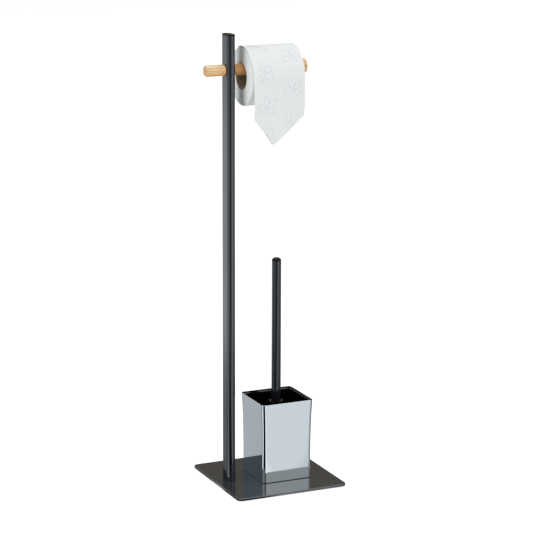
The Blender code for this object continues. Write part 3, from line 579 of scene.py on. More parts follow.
def moulded_plastic(recipe, place, colour, roughness, shine=PLAIN_SHINE, glint=WHITE):
    """Black plastic with the grain of its mould, and with the strength and colour of its shine."""
    grain = recipe.noise(place, MOULD_GRAIN_SCALE)
    flow = recipe.noise(place, FLOW_SCALE)
    return {
        "Base Color": recipe.tint(flow, rgb(*colour), shaded(colour, FLOW_LIGHTENING)),
        "Roughness": roughness + (flow - NOISE_MIDDLE) * FLOW_ROUGHNESS,
        "Specular IOR Level": shine,
        "Specular Tint": glint,
        "Normal": recipe.bump(grain, MOULD_GRAIN_DEPTH),
    }


CAP_PLASTIC = {"colour": (0.003, 0.0031, 0.0033), "roughness": 0.24, "shine": 0.24}
DULL_PLASTIC = {"colour": (0.0010, 0.0009, 0.0008), "roughness": 0.30, "shine": 0.22, "glint": WARM_GLINT}
DRAWN_PLASTIC = {"colour": (0.016, 0.016, 0.017), "roughness": 0.38}
BLACK_PLASTIC = make_finish("black_moulding", moulded_plastic, **CAP_PLASTIC)
LINER_PLASTIC = make_finish("liner_moulding", moulded_plastic, **DULL_PLASTIC)
FILAMENT = make_finish("black_filament", moulded_plastic, **DRAWN_PLASTIC)
print("plastics ready")

# %% Rubber and plating
RUBBER_PORE_SCALE = 1800.0
RUBBER_PORE_ONSET = (0.45, 0.8)
RUBBER_PORE_DEPTH = 0.00003
RUBBER_COLOUR = rgb(0.020, 0.020, 0.021)
TALC_COLOUR = rgb(0.06, 0.06, 0.058)
RUBBER_ROUGHNESS = 0.75
TALC_ROUGHNESS = 0.15
ZINC_DRIFT_SCALE = 240.0
COOL_ZINC = rgb(0.50, 0.53, 0.60)
WARM_ZINC = rgb(0.62, 0.60, 0.50)
TURNING_SCALE = (300.0, 300.0, 4000.0)
TURNING_DEPTH = 0.000008
ZINC_ROUGHNESS = 0.28
TURNING_ROUGHNESS = 0.14


def soft_rubber(recipe, place):
    """Matt black rubber with talc caught in its pores."""
    pores = recipe.noise(place, RUBBER_PORE_SCALE, detail=3.0)
    return {
        "Base Color": recipe.tint(pores.step(*RUBBER_PORE_ONSET), RUBBER_COLOUR, TALC_COLOUR),
        "Roughness": RUBBER_ROUGHNESS + pores * TALC_ROUGHNESS,
        "Normal": recipe.bump(pores, RUBBER_PORE_DEPTH),
    }


def zinc_plate(recipe, place):
    """Plated fastener steel with drifting tints and turned marks."""
    marks = recipe.noise(place, TURNING_SCALE)
    return {
        "Base Color": recipe.tint(recipe.noise(place, ZINC_DRIFT_SCALE), COOL_ZINC, WARM_ZINC),
        "Metallic": 1.0,
        "Roughness": ZINC_ROUGHNESS + marks * TURNING_ROUGHNESS,
        "Normal": recipe.bump(marks, TURNING_DEPTH),
    }


RUBBER = make_finish("pad_rubber", soft_rubber)
ZINC = make_finish("zinc_plating", zinc_plate)
print("rubber and plating ready")

# %% [markdown]
# ## Light wood
# The rod is turned from a pale, close-grained wood such as beech. Its rings run along the rod, its pores
# are short dark dashes, and a satin lacquer warms it. The grain is a noise that is stretched along the
# rod, and the pores are a finer one that only shows above a threshold. Both ends show the rings as arcs.
# A painted highlight makes the top paler, and painted shade makes the stretch in the roll and the underside
# rosier.


# %% The figure of the wood
RING_BEND_SCALE = (9.0, 60.0, 60.0)
RINGS_UP = 900.0
RINGS_BACK = 380.0
RING_BEND = 9.0
EARLY_WOOD = rgb(0.70, 0.485, 0.24)
LATE_WOOD = rgb(0.52, 0.30, 0.11)
SWIRL_SCALE = (45.0, 190.0, 190.0)
SWIRL_ONSET = (0.46, 0.62)
SWIRL_SHARE = 0.60
SWIRL_COLOUR = rgb(0.84, 0.70, 0.47)
FIBRE_SCALE = (60.0, 1500.0, 1500.0)
FIBRE_ONSET = (0.35, 0.75)
FIBRE_SHARE = 0.35
FIBRE_COLOUR = rgb(0.76, 0.55, 0.29)


def figured_wood(recipe, place, bent, fibre):
    """The rings along the rod, with paler swirls and fibres over them."""
    along, back, up = recipe.parts(place)
    rings = (up * RINGS_UP + back * RINGS_BACK + bent * RING_BEND).sine()
    early = recipe.tint(rings.as_share(), EARLY_WOOD, LATE_WOOD)
    swirl = recipe.noise(place, SWIRL_SCALE, detail=3.0).step(*SWIRL_ONSET)
    cream = recipe.tint(swirl * SWIRL_SHARE, early, SWIRL_COLOUR)
    return recipe.tint(fibre.step(*FIBRE_ONSET) * FIBRE_SHARE, cream, FIBRE_COLOUR)


print("figure ready, rings to the metre upwards:", round(RINGS_UP / (2 * pi)))

# %% Painted highlight, painted shade and end grain
ROD_HEIGHT = box_facts("rod_peg")[0].z
# A painted highlight: the top of the rod is tinted paler.
LIT_TOP_RISE = (0.001, 0.008)
LIT_TOP_SHARE = 0.22
LIT_TOP_COLOUR = rgb(0.86, 0.76, 0.56)
# Painted shade: the stretch inside the roll and the underside are tinted rosier.
ROLL_SHADE_STRETCH = (-0.060, 0.060)
ROLL_SHADE_EDGE = 0.006
ROLL_SHADE_SHARE = 0.7
UNDERSIDE_SHADE_DROP = (0.000, -0.007)
UNDERSIDE_SHADE_SHARE = 0.75
PAINTED_SHADE_COLOUR = rgb(0.72, 0.31, 0.08)
WOOD_PORE_SCALE = (260.0, 2600.0, 2600.0)
WOOD_PORE_ONSET = (0.63, 0.72)
WOOD_PORE_SHARE = 0.6
WOOD_PORE_COLOUR = rgb(0.42, 0.22, 0.08)
HEART = (0.016, 0.713)
END_RINGS = 3600.0
END_RING_BEND = 4.0
END_EARLY_WOOD = rgb(0.45, 0.265, 0.125)
END_LATE_WOOD = rgb(0.54, 0.335, 0.17)
ROD_MIDDLE = -0.0174
ROD_REACH = 0.0885
END_GRAIN_STEP = 0.0011
WOOD_ROUGHNESS = 0.36
FIBRE_ROUGHNESS = 0.12
WOOD_RELIEF = 0.00003
LACQUER_WEIGHT = 0.25
LACQUER_ROUGHNESS = 0.2


def end_grain(recipe, back, up, bent):
    """The rings as arcs round the tree's heart."""
    aside = back - HEART[0]
    above = up - HEART[1]
    arcs = ((aside * aside + above * above).root() * END_RINGS + bent * END_RING_BEND).sine()
    return recipe.tint(arcs.as_share(), END_EARLY_WOOD, END_LATE_WOOD)


def turned_wood(recipe, place):
    """Pale wood with grain and pores along X under satin lacquer, with a painted highlight on top and
    painted shade below and in the roll.
    """
    along, back, up = recipe.parts(place)
    bent = recipe.noise(place, RING_BEND_SCALE)
    fibre = recipe.noise(place, FIBRE_SCALE, detail=3.0)
    pores = recipe.noise(place, WOOD_PORE_SCALE).step(*WOOD_PORE_ONSET)
    figure = figured_wood(recipe, place, bent, fibre)
    rise = up - ROD_HEIGHT
    # Painted highlight: the top is tinted paler.
    lit_top = recipe.tint(rise.step(*LIT_TOP_RISE) * LIT_TOP_SHARE, figure, LIT_TOP_COLOUR)
    # Painted shade: the stretch in the roll and the underside are tinted rosier.
    roll_shade = along.band(*ROLL_SHADE_STRETCH, ROLL_SHADE_EDGE) * ROLL_SHADE_SHARE
    painted_shade = roll_shade.at_least(rise.step(*UNDERSIDE_SHADE_DROP) * UNDERSIDE_SHADE_SHARE)
    side = recipe.tint(pores * WOOD_PORE_SHARE, recipe.tint(painted_shade, lit_top, PAINTED_SHADE_COLOUR), WOOD_PORE_COLOUR)
    at_end = abs(along - ROD_MIDDLE).step(ROD_REACH, ROD_REACH + END_GRAIN_STEP)
    return {
        "Base Color": recipe.tint(at_end, side, end_grain(recipe, back, up, bent)),
        "Roughness": WOOD_ROUGHNESS + fibre * FIBRE_ROUGHNESS,
        "Coat Weight": LACQUER_WEIGHT,
        "Coat Roughness": LACQUER_ROUGHNESS,
        "Normal": recipe.bump(fibre + pores * -WOOD_PORE_SHARE, WOOD_RELIEF),
    }


WOOD = make_finish("lacquered_beech", turned_wood)
print("wood ready, the rod's height in mm:", round(ROD_HEIGHT * 1000, 1))

# %% [markdown]
# ## Cardboard
# The core is grey-brown recycled board. Its short fibres could be modelled as hairs, but they lie flat and
# are hardly seen, so a noise that is stretched along the tube mottles the colour and roughens the skin.


# %% Core board
BOARD_FIBRE_SCALE = (500.0, 900.0, 900.0)
BOARD_FIBRE_ONSET = (0.5, 0.8)
BOARD_FIBRE_SHARE = 0.5
BOARD_FIBRE_COLOUR = rgb(0.25, 0.20, 0.14)
BOARD_FIBRE_DEPTH = 0.00006
BLOTCH_SCALE = 90.0
BOARD_DARK = rgb(0.36, 0.30, 0.22)
BOARD_LIGHT = rgb(0.43, 0.365, 0.275)
BOARD_ROUGHNESS = 0.88
BOARD_FIBRE_ROUGHNESS = 0.08


def core_board(recipe, place):
    """Grey-brown recycled board with short fibres."""
    fibre = recipe.noise(place, BOARD_FIBRE_SCALE, detail=4.0)
    board = recipe.tint(recipe.noise(place, BLOTCH_SCALE, detail=3.0), BOARD_DARK, BOARD_LIGHT)
    fibres = fibre.step(*BOARD_FIBRE_ONSET) * BOARD_FIBRE_SHARE
    return {
        "Base Color": recipe.tint(fibres, board, BOARD_FIBRE_COLOUR),
        "Roughness": BOARD_ROUGHNESS + fibre * BOARD_FIBRE_ROUGHNESS,
        "Normal": recipe.bump(fibre, BOARD_FIBRE_DEPTH),
    }


BOARD = make_finish("core_board", core_board)
print("board ready, fibre relief in mm:", BOARD_FIBRE_DEPTH * 1000)

# %% [markdown]
# ## Tissue
# Soft, slightly cool white, with an embossed grain of small cushions and a faint lilac-grey print. The
# print is drawn by arithmetic on the unwound paper, whose metres each paper piece keeps as a UV map. The
# paper is divided into half-drop columns. In each cell stands a sprig, leaned this way or that: three
# leaves, a stem and a berry. A leaf is where two circles overlap, so its outline is where the distance to
# the further circle's middle equals the radius.

# %% A sprig by arithmetic
PAPER_MAP = "paper"
PRINT_COLUMN = 0.046
PRINT_ROW = 0.055
PRINT_LINE = 0.00048
PRINT_LINE_EDGE = (PRINT_LINE * 1.3, PRINT_LINE * 0.5)
HALF_DROP = 0.5
CELL_MIDDLE = 0.5
LEAN_BY_COLUMN = 2.4
LEAN_BY_ROW = 1.7
LEAF_ROUND = 0.0112
LEAF_SQUEEZE = 0.0067
LEAF_REACH = 0.0108
LEAF_TURNS = (radians(-64), 0.0, radians(64))
SPRIG_RISE = 0.0060
STEM_LENGTH = 0.0125
BERRY_PLACE = (0.0085, -0.0085)
BERRY_RADIUS = 0.0024


def turned(across, up, cosine, sine):
    """Both parts of a place, seen from an axis that is turned clockwise."""
    return across * cosine - up * sine, up * cosine + across * sine


def leaf_edge(across, up, turn):
    """How far a place lies outside a leaf that points that way from the sprig's node."""
    across, up = turned(across, up, cos(turn), sin(turn))
    wide = abs(across) + LEAF_SQUEEZE
    tall = up - LEAF_REACH
    return (wide * wide + tall * tall).root() - LEAF_ROUND


def on_line(distance):
    """1 on a printed line, 0 beside it."""
    return abs(distance).step(*PRINT_LINE_EDGE)


def sprig_lines(over, down):
    """1 on the sprigs' lines and 0 beside them, from the place on the unwound paper."""
    column = over / PRINT_COLUMN
    column_number = column.whole()
    row = down / PRINT_ROW + column_number.remainder(2.0) * HALF_DROP
    row_number = row.whole()
    across = (column - column_number - CELL_MIDDLE) * PRINT_COLUMN
    up = (row - row_number - CELL_MIDDLE) * -PRINT_ROW
    lean = (column_number * LEAN_BY_COLUMN + row_number * LEAN_BY_ROW).sine()
    across, up = turned(across, up, lean.cosine(), lean.sine())
    up = up + SPRIG_RISE
    first, second, third = (leaf_edge(across, up, turn) for turn in LEAF_TURNS)
    leaves = on_line(first.at_most(second).at_most(third))
    stem = on_line(across) * up.band(-STEM_LENGTH, 0.0, PRINT_LINE)
    aside = across - BERRY_PLACE[0]
    below = up - BERRY_PLACE[1]
    berry = on_line((aside * aside + below * below).root() - BERRY_RADIUS)
    return leaves.at_least(stem).at_least(berry)


print("print repeats every", PRINT_COLUMN * 1000, "by", PRINT_ROW * 1000, "mm")

# %% Tissue paper
CUSHION_PITCH = 0.0019
CUSHION_DEPTH = 0.00006
FLUFF_SCALE = 1400.0
FLUFF_DEPTH = 0.00005
FLUFF_ROUGHNESS = 0.08
TISSUE_ROUGHNESS = 0.9
TISSUE_DARK = rgb(0.698, 0.719, 0.714)
TISSUE_LIGHT = rgb(0.746, 0.768, 0.763)
PRINT_SHARE = 0.55
PRINT_COLOUR = rgb(0.50, 0.49, 0.60)
# Painted shade: a darker speckle between the wound turns, near both ends of the roll.
PLY_SHADE_SCALE = (80.0, 520.0, 520.0)
PLY_SHADE_ONSET = (0.50, 0.66)
PLY_SHADE_SHARE = 0.5
PLY_SHADE_COLOUR = rgb(0.50, 0.50, 0.48)
ROLL_END_START = 0.004
ROLL_END_FULL = 0.002


def ply_shade_speckle(recipe, place, body):
    """The paper's colour, with a speckle of painted shade between the turns at both ends of the roll."""
    middle, low, size = box_facts("paper_roll")
    from_middle = abs(recipe.parts(place)[0] - middle.x)
    at_ends = from_middle.step(size.x / 2 - ROLL_END_START, size.x / 2 - ROLL_END_FULL)
    # Painted shade, speckled between the turns.
    ply_shade = recipe.noise(place, PLY_SHADE_SCALE).step(*PLY_SHADE_ONSET)
    return recipe.tint(ply_shade * at_ends * PLY_SHADE_SHARE, body, PLY_SHADE_COLOUR)


def tissue(recipe, place, wound):
    """Soft embossed paper with a faint print, and a speckle of painted shade at its ends where it is wound.
    """
    over, down = recipe.parts(recipe.add("ShaderNodeUVMap", {"uv_map": PAPER_MAP}))[:2]
    fluff = recipe.noise(place, FLUFF_SCALE, detail=4.0)
    body = recipe.tint(fluff, TISSUE_DARK, TISSUE_LIGHT)
    if wound:
        body = ply_shade_speckle(recipe, place, body)
    wave = 2 * pi / CUSHION_PITCH
    cushions = (over * wave).sine() * (down * wave).sine()
    soft = recipe.bump(fluff, FLUFF_DEPTH)
    return {
        "Base Color": recipe.tint(sprig_lines(over, down) * PRINT_SHARE, body, PRINT_COLOUR),
        "Roughness": TISSUE_ROUGHNESS + fluff * FLUFF_ROUGHNESS,
        "Normal": recipe.bump(cushions, CUSHION_DEPTH, under=soft),
    }


SHEET_TISSUE = make_finish("printed_tissue", tissue, wound=False)
ROLL_TISSUE = make_finish("wound_tissue", tissue, wound=True)
print("tissue ready, cushions every", CUSHION_PITCH * 1000, "mm")

# %% [markdown]
# ## Smooth skins for the rounded steel and plastic
# The frame's meshes are loose triangles with flat shading. Where a piece is round, a copy is merged into
# one skin, its flat triangles are joined again, and its normals are weighted by face size: the large
# flats stay flat and only the rounded edges carry the turn. The copy then stands for the frame's piece.

# %% Make a smooth skin
MERGE_DISTANCE = 0.000004
FLAT_ANGLE = radians(0.5)
SHARP_ANGLE = radians(36)


def settle(piece):
    """Turns the modifiers' result into the piece's own plain mesh."""
    ready = piece.evaluated_get(bpy.context.evaluated_depsgraph_get())
    mesh = bpy.data.meshes.new_from_object(ready)
    piece.modifiers.clear()
    piece.data = mesh


def shade(mesh, sharp_angle):
    """Smooth shading that breaks where faces meet at more than that angle."""
    mesh.shade_smooth()
    mesh.set_sharp_from_angle(angle=sharp_angle)


def weigh_normals(piece):
    """Weights the normals by face size, so the flats look flat."""
    weighted = piece.modifiers.new("weighted", "WEIGHTED_NORMAL")
    weighted.keep_sharp = True
    settle(piece)


def add_piece(name, mesh, body, finish, slot, *stood_for):
    """A finished piece on its body, standing for the frame's nodes."""
    piece = place_object(name, mesh)
    mesh.materials.clear()
    mesh.materials.append(finish)
    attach(piece, body)
    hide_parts(*stood_for)
    return piece


def smooth_skin(node, name, finish, slot):
    """A merged and smoothly shaded copy of a node, on the node's body."""
    source = frame["nodes"][node]
    bm = bmesh.new()
    bm.from_mesh(source.data)
    bmesh.ops.remove_doubles(bm, verts=bm.verts, dist=MERGE_DISTANCE)
    bmesh.ops.dissolve_limit(bm, angle_limit=FLAT_ANGLE, verts=bm.verts, edges=bm.edges)
    mesh = plain_mesh(bm, name)
    if "custom_normal" in mesh.attributes:
        mesh.attributes.remove(mesh.attributes["custom_normal"])
    shade(mesh, SHARP_ANGLE)
    piece = add_piece(name, mesh, source["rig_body"], finish, slot, node)
    weigh_normals(piece)
    print(name, len(piece.data.polygons), "faces")


SKINS = (
    ("base_plate", "plate_skin", PLATE_PAINT, "plate_paint"),
    ("post_tube", "post_skin", POST_PAINT, "dark_paint"),
    ("post_top_cap", "post_cap_skin", BLACK_PLASTIC, "black_plastic"),
    ("rod_peg", "peg_skin", WOOD, "light_wood"),
    ("paper_rod", "rod_skin", WOOD, "light_wood"),
    ("roll_core", "core_skin", BOARD, "core_cardboard"),
    ("holder_liner", "liner_skin", LINER_PLASTIC, "black_plastic"),
    ("brush_handle_tube", "handle_skin", HANDLE_PAINT, "dark_paint"),
    ("brush_end_cap", "handle_cap_skin", BLACK_PLASTIC, "black_plastic"),
    ("brush_collar", "collar_skin", LINER_PLASTIC, "black_plastic"),
    ("brush_head_core", "head_core_skin", BLACK_PLASTIC, "black_plastic"),
)
for row in SKINS:
    smooth_skin(*row)

# %% [markdown]
# ## Growing a shape from a rule
# Three pieces follow a rule that is shorter than any list of points: the holder's flared sleeve, the wound
# paper and the tufts of the brush. Each gets a tree of Geometry Nodes with a named input for every size.
# The tree is written with the same helper as the finishes, because its Math nodes are the same.


# %% Start a shape, and grow it
def start_shape(name, sizes):
    """A geometry tree with one named input for each size. Whole numbers stay whole."""
    tree = bpy.data.node_groups.new(name, "GeometryNodeTree")
    tree.interface.new_socket("Ground", in_out="INPUT", socket_type="NodeSocketGeometry")
    for label, value in sizes.items():
        kind = "NodeSocketInt" if isinstance(value, int) else "NodeSocketFloat"
        tree.interface.new_socket(label, in_out="INPUT", socket_type=kind)
    tree.interface.new_socket("Geometry", in_out="OUTPUT", socket_type="NodeSocketGeometry")
    recipe = Recipe(tree)
    return recipe, recipe.add("NodeGroupInput")


def end_shape(recipe, shape, finish):
    """Realises the instances and sets the finish at the end of a tree."""
    real = recipe.add("GeometryNodeRealizeInstances", {}, {"Geometry": shape})
    dressed = recipe.add("GeometryNodeSetMaterial", {}, {"Geometry": real, "Material": finish})
    recipe.add("NodeGroupOutput", {}, {"Geometry": dressed})
    return recipe.tree


def grow(tree, sizes, ground=None):
    """The plain mesh that a tree makes with these sizes."""
    seed = place_object(tree.name, ground or bpy.data.meshes.new(tree.name))
    modifier = seed.modifiers.new("shape", "NODES")
    modifier.node_group = tree
    for item in tree.interface.items_tree:
        if item.in_out == "INPUT" and item.name in sizes:
            modifier[item.identifier] = sizes[item.name]
    ready = seed.evaluated_get(bpy.context.evaluated_depsgraph_get())
    mesh = bpy.data.meshes.new_from_object(ready)
    bpy.data.objects.remove(seed)
    print(tree.name, len(mesh.polygons), "faces")
    return mesh


print("shapes can be grown now")

# %% Walls, outward faces and a count
RIM_SEGMENTS = 3
RIM_ANGLE = radians(60)
SMALLEST_STEP = 0.00001


def give_wall(piece, wall, offset=-1.0, edge=0.0, sharp_angle=SHARP_ANGLE):
    """Thickens a skin, rounds its rims and weights its normals."""
    shell = piece.modifiers.new("wall", "SOLIDIFY")
    shell.thickness = wall
    shell.offset = offset
    shell.use_even_offset = True
    if edge:
        rim = piece.modifiers.new("rim", "BEVEL")
        rim.width = edge
        rim.segments = RIM_SEGMENTS
        rim.limit_method = "ANGLE"
        rim.angle_limit = RIM_ANGLE
    settle(piece)
    shade(piece.data, sharp_angle)
    weigh_normals(piece)


def face_outwards(mesh):
    """Merges a mesh's doubles and turns its faces outwards, before any wall is added."""
    bm = bmesh.new()
    bm.from_mesh(mesh)
    bmesh.ops.remove_doubles(bm, verts=bm.verts, dist=SMALLEST_STEP)
    bmesh.ops.recalc_face_normals(bm, faces=bm.faces)
    bm.to_mesh(mesh)
    bm.free()


def count_triangles(piece):
    """How many triangles a piece has."""
    return sum(len(face.vertices) - 2 for face in piece.data.polygons)


print("doubles merge within", SMALLEST_STEP * 1000, "mm")

# %% [markdown]
# ## The polished holder
# On the real stand this is a square steel sleeve that widens by five millimetres, ever faster towards its
# mouth. Flat panels show every faceted corner when they are polished, so it isn't taken from the frame. A
# rounded square is swept up a line, and widened by the third power of the way up the flare. Its foot is
# folded with a small radius, which draws the dark line above the plate. The floor is the same square filled
# round the screw's hole, and the sheet gets its thickness last, inwards. Its cut edge is rounded over, which
# catches the ceiling and draws the thin bright line round the mouth.

# %% The sleeve's tree
HOLE_STEPS = 32


def widening(recipe, given):
    """How much wider the sleeve is at a height than at its foot."""
    height = recipe.parts(recipe.position())[2]
    straight = given.out("Height") - given.out("Flare Height")
    way_up = (height - straight).at_least(0.0) / given.out("Flare Height")
    fold = given.out("Foot Round")
    depth = (fold - height).at_least(0.0)
    inset = fold - (fold * fold - depth * depth).at_least(0.0).root()
    flare = (given.out("Mouth Width") / given.out("Foot Width") - 1) * way_up ** given.out("Flare Power")
    return 1 + flare - inset / given.out("Foot Width") * 2


def climbing_path(recipe, given):
    """An upright line whose points lie closer together towards its foot."""
    top = recipe.point(0.0, 0.0, given.out("Height"))
    line = recipe.add("GeometryNodeCurvePrimitiveLine", {}, {"Start": (0, 0, 0), "End": top})
    path = recipe.add("GeometryNodeResampleCurve", {}, {"Curve": line, "Count": given.out("Steps Up")})
    even = recipe.parts(recipe.position())[2]
    closer = recipe.point(0.0, 0.0, even * even / given.out("Height"))
    return recipe.add("GeometryNodeSetPosition", {}, {"Geometry": path, "Position": closer})


def holder_tree(sizes, finish):
    """A rounded square swept up a flared sleeve, with a floor round its screw hole."""
    recipe, given = start_shape("flared_sleeve", sizes)
    width = given.out("Foot Width")
    square = recipe.add("GeometryNodeCurvePrimitiveQuadrilateral", {}, {"Width": width, "Height": width})
    corners = {"Curve": square, "Radius": given.out("Corner Radius"), "Count": given.out("Corner Steps")}
    rounded = recipe.add("GeometryNodeFilletCurve", {"mode": "POLY"}, corners)
    sweep = {
        "Curve": climbing_path(recipe, given),
        "Profile Curve": rounded,
        "Scale": widening(recipe, given),
    }
    sides = recipe.add("GeometryNodeCurveToMesh", {}, sweep)
    hole_sizes = {"Resolution": HOLE_STEPS, "Radius": given.out("Hole Radius")}
    hole = recipe.add("GeometryNodeCurvePrimitiveCircle", {}, hole_sizes)
    tuck = 1 - given.out("Foot Round") / width * 2
    tucked = recipe.vector("MULTIPLY", recipe.position(), recipe.point(tuck, tuck, 1.0))
    edge = recipe.add("GeometryNodeSetPosition", {}, {"Geometry": rounded, "Position": tucked})
    floor = recipe.add("GeometryNodeFillCurve", {}, {"Curve": recipe.join(edge, hole)})
    both = recipe.join(sides, recipe.add("GeometryNodeFlipFaces", {}, {"Mesh": floor}))
    sewn = {"Geometry": both, "Distance": SMALLEST_STEP}
    return end_shape(recipe, recipe.add("GeometryNodeMergeByDistance", {}, sewn), finish)


print("sleeve tree written")

# %% Measure the holder and sweep it
FLARE_HEIGHT = 0.130
FLARE_POWER = 3.0
FOOT_ROUND = 0.0011
HOLDER_CORNER_RADIUS = 0.006
FOOT_WIDTH = 0.0893
MOUTH_WIDTH = 0.0942
STEEL_SHEET = 0.0008
ROLLED_RIM = 0.00037
HOLDER_SCREW_HOLE = 0.0028
CORNER_STEPS = 10
STEPS_UP = 96


def add_holder():
    """The sleeve where the frame has it."""
    middle, low, size = box_facts("holder_shell")
    sizes = {
        "Foot Width": size.x * (FOOT_WIDTH / MOUTH_WIDTH),
        "Mouth Width": size.x,
        "Height": size.z,
        "Flare Height": FLARE_HEIGHT,
        "Flare Power": FLARE_POWER,
        "Foot Round": FOOT_ROUND,
        "Corner Radius": HOLDER_CORNER_RADIUS,
        "Hole Radius": HOLDER_SCREW_HOLE,
        "Corner Steps": CORNER_STEPS,
        "Steps Up": STEPS_UP,
    }
    mesh = grow(holder_tree(sizes, POLISHED), sizes)
    face_outwards(mesh)
    mesh.transform(Matrix.Translation((middle.x, middle.y, low.z)))
    piece = add_piece("holder_sleeve", mesh, "stand", POLISHED, "polished_steel", "holder_shell")
    give_wall(piece, STEEL_SHEET, edge=ROLLED_RIM)
    print("holder corner radius in mm:", HOLDER_CORNER_RADIUS * 1000)


add_holder()

# %% [markdown]
# ## The wound paper
# A toilet roll is one long ribbon. Its end face shows the turns as fine lines that drift in and out by a
# hair, and its outer edges are softly crushed. So it is made as a ribbon: a long grid is wound into a
# spiral by its own rule, with the edges drawn in near the outside, and then given the paper's thickness.
# Each point keeps its place on the unwound paper, and the print reads that.

# %% The ribbon's tree
POINTS_ACROSS = 5
DRIFT_BY_TURN = 1.3


def roll_tree(sizes, finish):
    """A grid wound into a spiral round X, with the paper's own coordinates kept on it."""
    recipe, given = start_shape("wound_ribbon", sizes)
    steps = given.out("Turns") * given.out("Steps Per Turn")
    counts = {"Size X": 1.0, "Size Y": 1.0, "Vertices X": steps, "Vertices Y": POINTS_ACROSS}
    grid = recipe.add("GeometryNodeMeshGrid", {}, counts)
    flat_x, flat_y = recipe.parts(recipe.position())[:2]
    along = flat_x + 0.5
    turns = along * given.out("Turns")
    outer = given.out("Outer Radius")
    radius = given.out("Inner Radius") + (outer - given.out("Inner Radius")) * along
    unwound = (turns - given.out("Turns")) * ((radius + outer) / 2) * (2 * pi)
    on_paper = recipe.point((flat_y + 0.5) * given.out("Width"), unwound, 0.0)
    kept = {"Geometry": grid, "Name": PAPER_MAP, "Value": on_paper}
    grid = recipe.add("GeometryNodeStoreNamedAttribute", {"data_type": "FLOAT2", "domain": "CORNER"}, kept)
    edge = given.out("Crushed Edge")
    past = (radius - outer + edge).at_least(0.0)
    half = given.out("Width") / 2 - edge + (edge * edge - past * past).at_least(0.0).root()
    noise = {"W": turns, "Scale": DRIFT_BY_TURN, "Detail": 2.0}
    drift = recipe.add("ShaderNodeTexNoise", {"noise_dimensions": "1D"}, noise) - NOISE_MIDDLE
    angle = (turns - given.out("Turns")) * (2 * pi) + given.out("End Turn")
    across = flat_y * 2 * half + drift * given.out("Drift")
    wound = recipe.point(across, radius * angle.cosine(), radius * angle.sine())
    moved = recipe.add("GeometryNodeSetPosition", {}, {"Geometry": grid, "Position": wound})
    return end_shape(recipe, moved, finish)


print("ribbon tree written")

# %% Wind the paper
PAPER_TURNS = 60
PAPER_STEPS = 72
PAPER_SHARE = 0.93
PAPER_DRIFT = 0.0004
ROLL_END_TURN = radians(78)
CRUSHED_EDGE = 0.0034
CORE_GAP = 0.0003


def add_roll():
    """The paper from the core's outside to the frame's outer radius."""
    middle, low, size = box_facts("paper_roll")
    inner = box_facts("roll_core")[2].z / 2 + CORE_GAP
    pitch = (size.z / 2 - inner) / PAPER_TURNS
    sizes = {
        "Inner Radius": inner + pitch / 2,
        "Outer Radius": size.z / 2 - pitch / 2,
        "Width": size.x,
        "Crushed Edge": CRUSHED_EDGE,
        "Drift": PAPER_DRIFT,
        "End Turn": ROLL_END_TURN,
        "Turns": PAPER_TURNS,
        "Steps Per Turn": PAPER_STEPS,
    }
    mesh = grow(roll_tree(sizes, ROLL_TISSUE), sizes)
    mesh.transform(Matrix.Translation(middle))
    piece = add_piece("wound_paper", mesh, "roll", ROLL_TISSUE, "tissue", "paper_roll")
    give_wall(piece, pitch * PAPER_SHARE, offset=0.0)
    print("paper pitch in mm:", round(pitch * 1000, 3), "triangles:", count_triangles(piece))


add_roll()

# %% [markdown]
# ## The loose sheet
# The free end of the paper leaves the back of the roll, runs over its top and hangs down the front. Both
# its lower corners are folded behind it to a point. It is built as it is folded: a flat rectangle, cut
# along the two fold lines, with each corner mirrored across its line and laid a hair behind. The flat
# place of every point goes to the print, and only then is the sheet bent over the roll. The hanging part
# is hardly ever flat, so a small table of bends, read smoothly, lets its edges drift.

# %% Read the bends
BEND_DROPS = (0.0, 0.025, 0.045, 0.062, 0.080, 0.107)
BENDS = (
    (0.0, 0.0, 0.0, 0.0),
    (-0.0004, 0.0002, 0.0004, 0.0014),
    (-0.0012, 0.0005, 0.0012, 0.0036),
    (0.0016, 0.0009, 0.0022, 0.0060),
    (0.0010, 0.0005, 0.0018, 0.0045),
    (0.0004, 0.0000, 0.0010, 0.0030),
)


def smooth_mix(table, share):
    """Reads evenly spaced values smoothly at a share from 0 to 1."""
    place = min(max(share, 0.0), 1.0) * (len(table) - 1)
    first = min(int(place), len(table) - 2)
    way = place - first
    ease = way * way * (3 - 2 * way)
    return table[first] + (table[first + 1] - table[first]) * ease


def bend(share, drop):
    """How far back the hanging sheet leans at a share of its width and a drop below the roll's axis."""
    columns = [smooth_mix(row, share) for row in BENDS]
    place = 0.0
    for number, (above, below) in enumerate(zip(BEND_DROPS, BEND_DROPS[1:])):
        if above <= drop:
            place = number + min((drop - above) / (below - above), 1.0)
    return smooth_mix(columns, place / (len(columns) - 1))


print("bends read at", len(BENDS), "drops")

# %% Cut and fold the flat sheet
TAIL_SIDE_DROP = 0.0618
TAIL_TIP_SHARE = 0.366
TIP_BLUNTING = 0.0012
SHEET_SAG = 0.0012
SHEET_CELL = 0.003
CUT_TOLERANCE = 0.000001
FOLD_GAPS = (0.0004, 0.0008)
FOLD_EASE = 0.002


def fold_lines(width, wrap_length, length):
    """Each fold's outer end, its direction towards the tip and its sideways outward direction."""
    tip = Vector((TAIL_TIP_SHARE * width, length + TIP_BLUNTING))
    lines = []
    for corner_x, side in ((0.0, -1), (width, 1)):
        start = Vector((corner_x, wrap_length + TAIL_SIDE_DROP + SHEET_SAG))
        along = (tip - start).normalized()
        outward = Vector((along.y, -along.x)) * side
        lines.append((start, along, outward))
    return lines


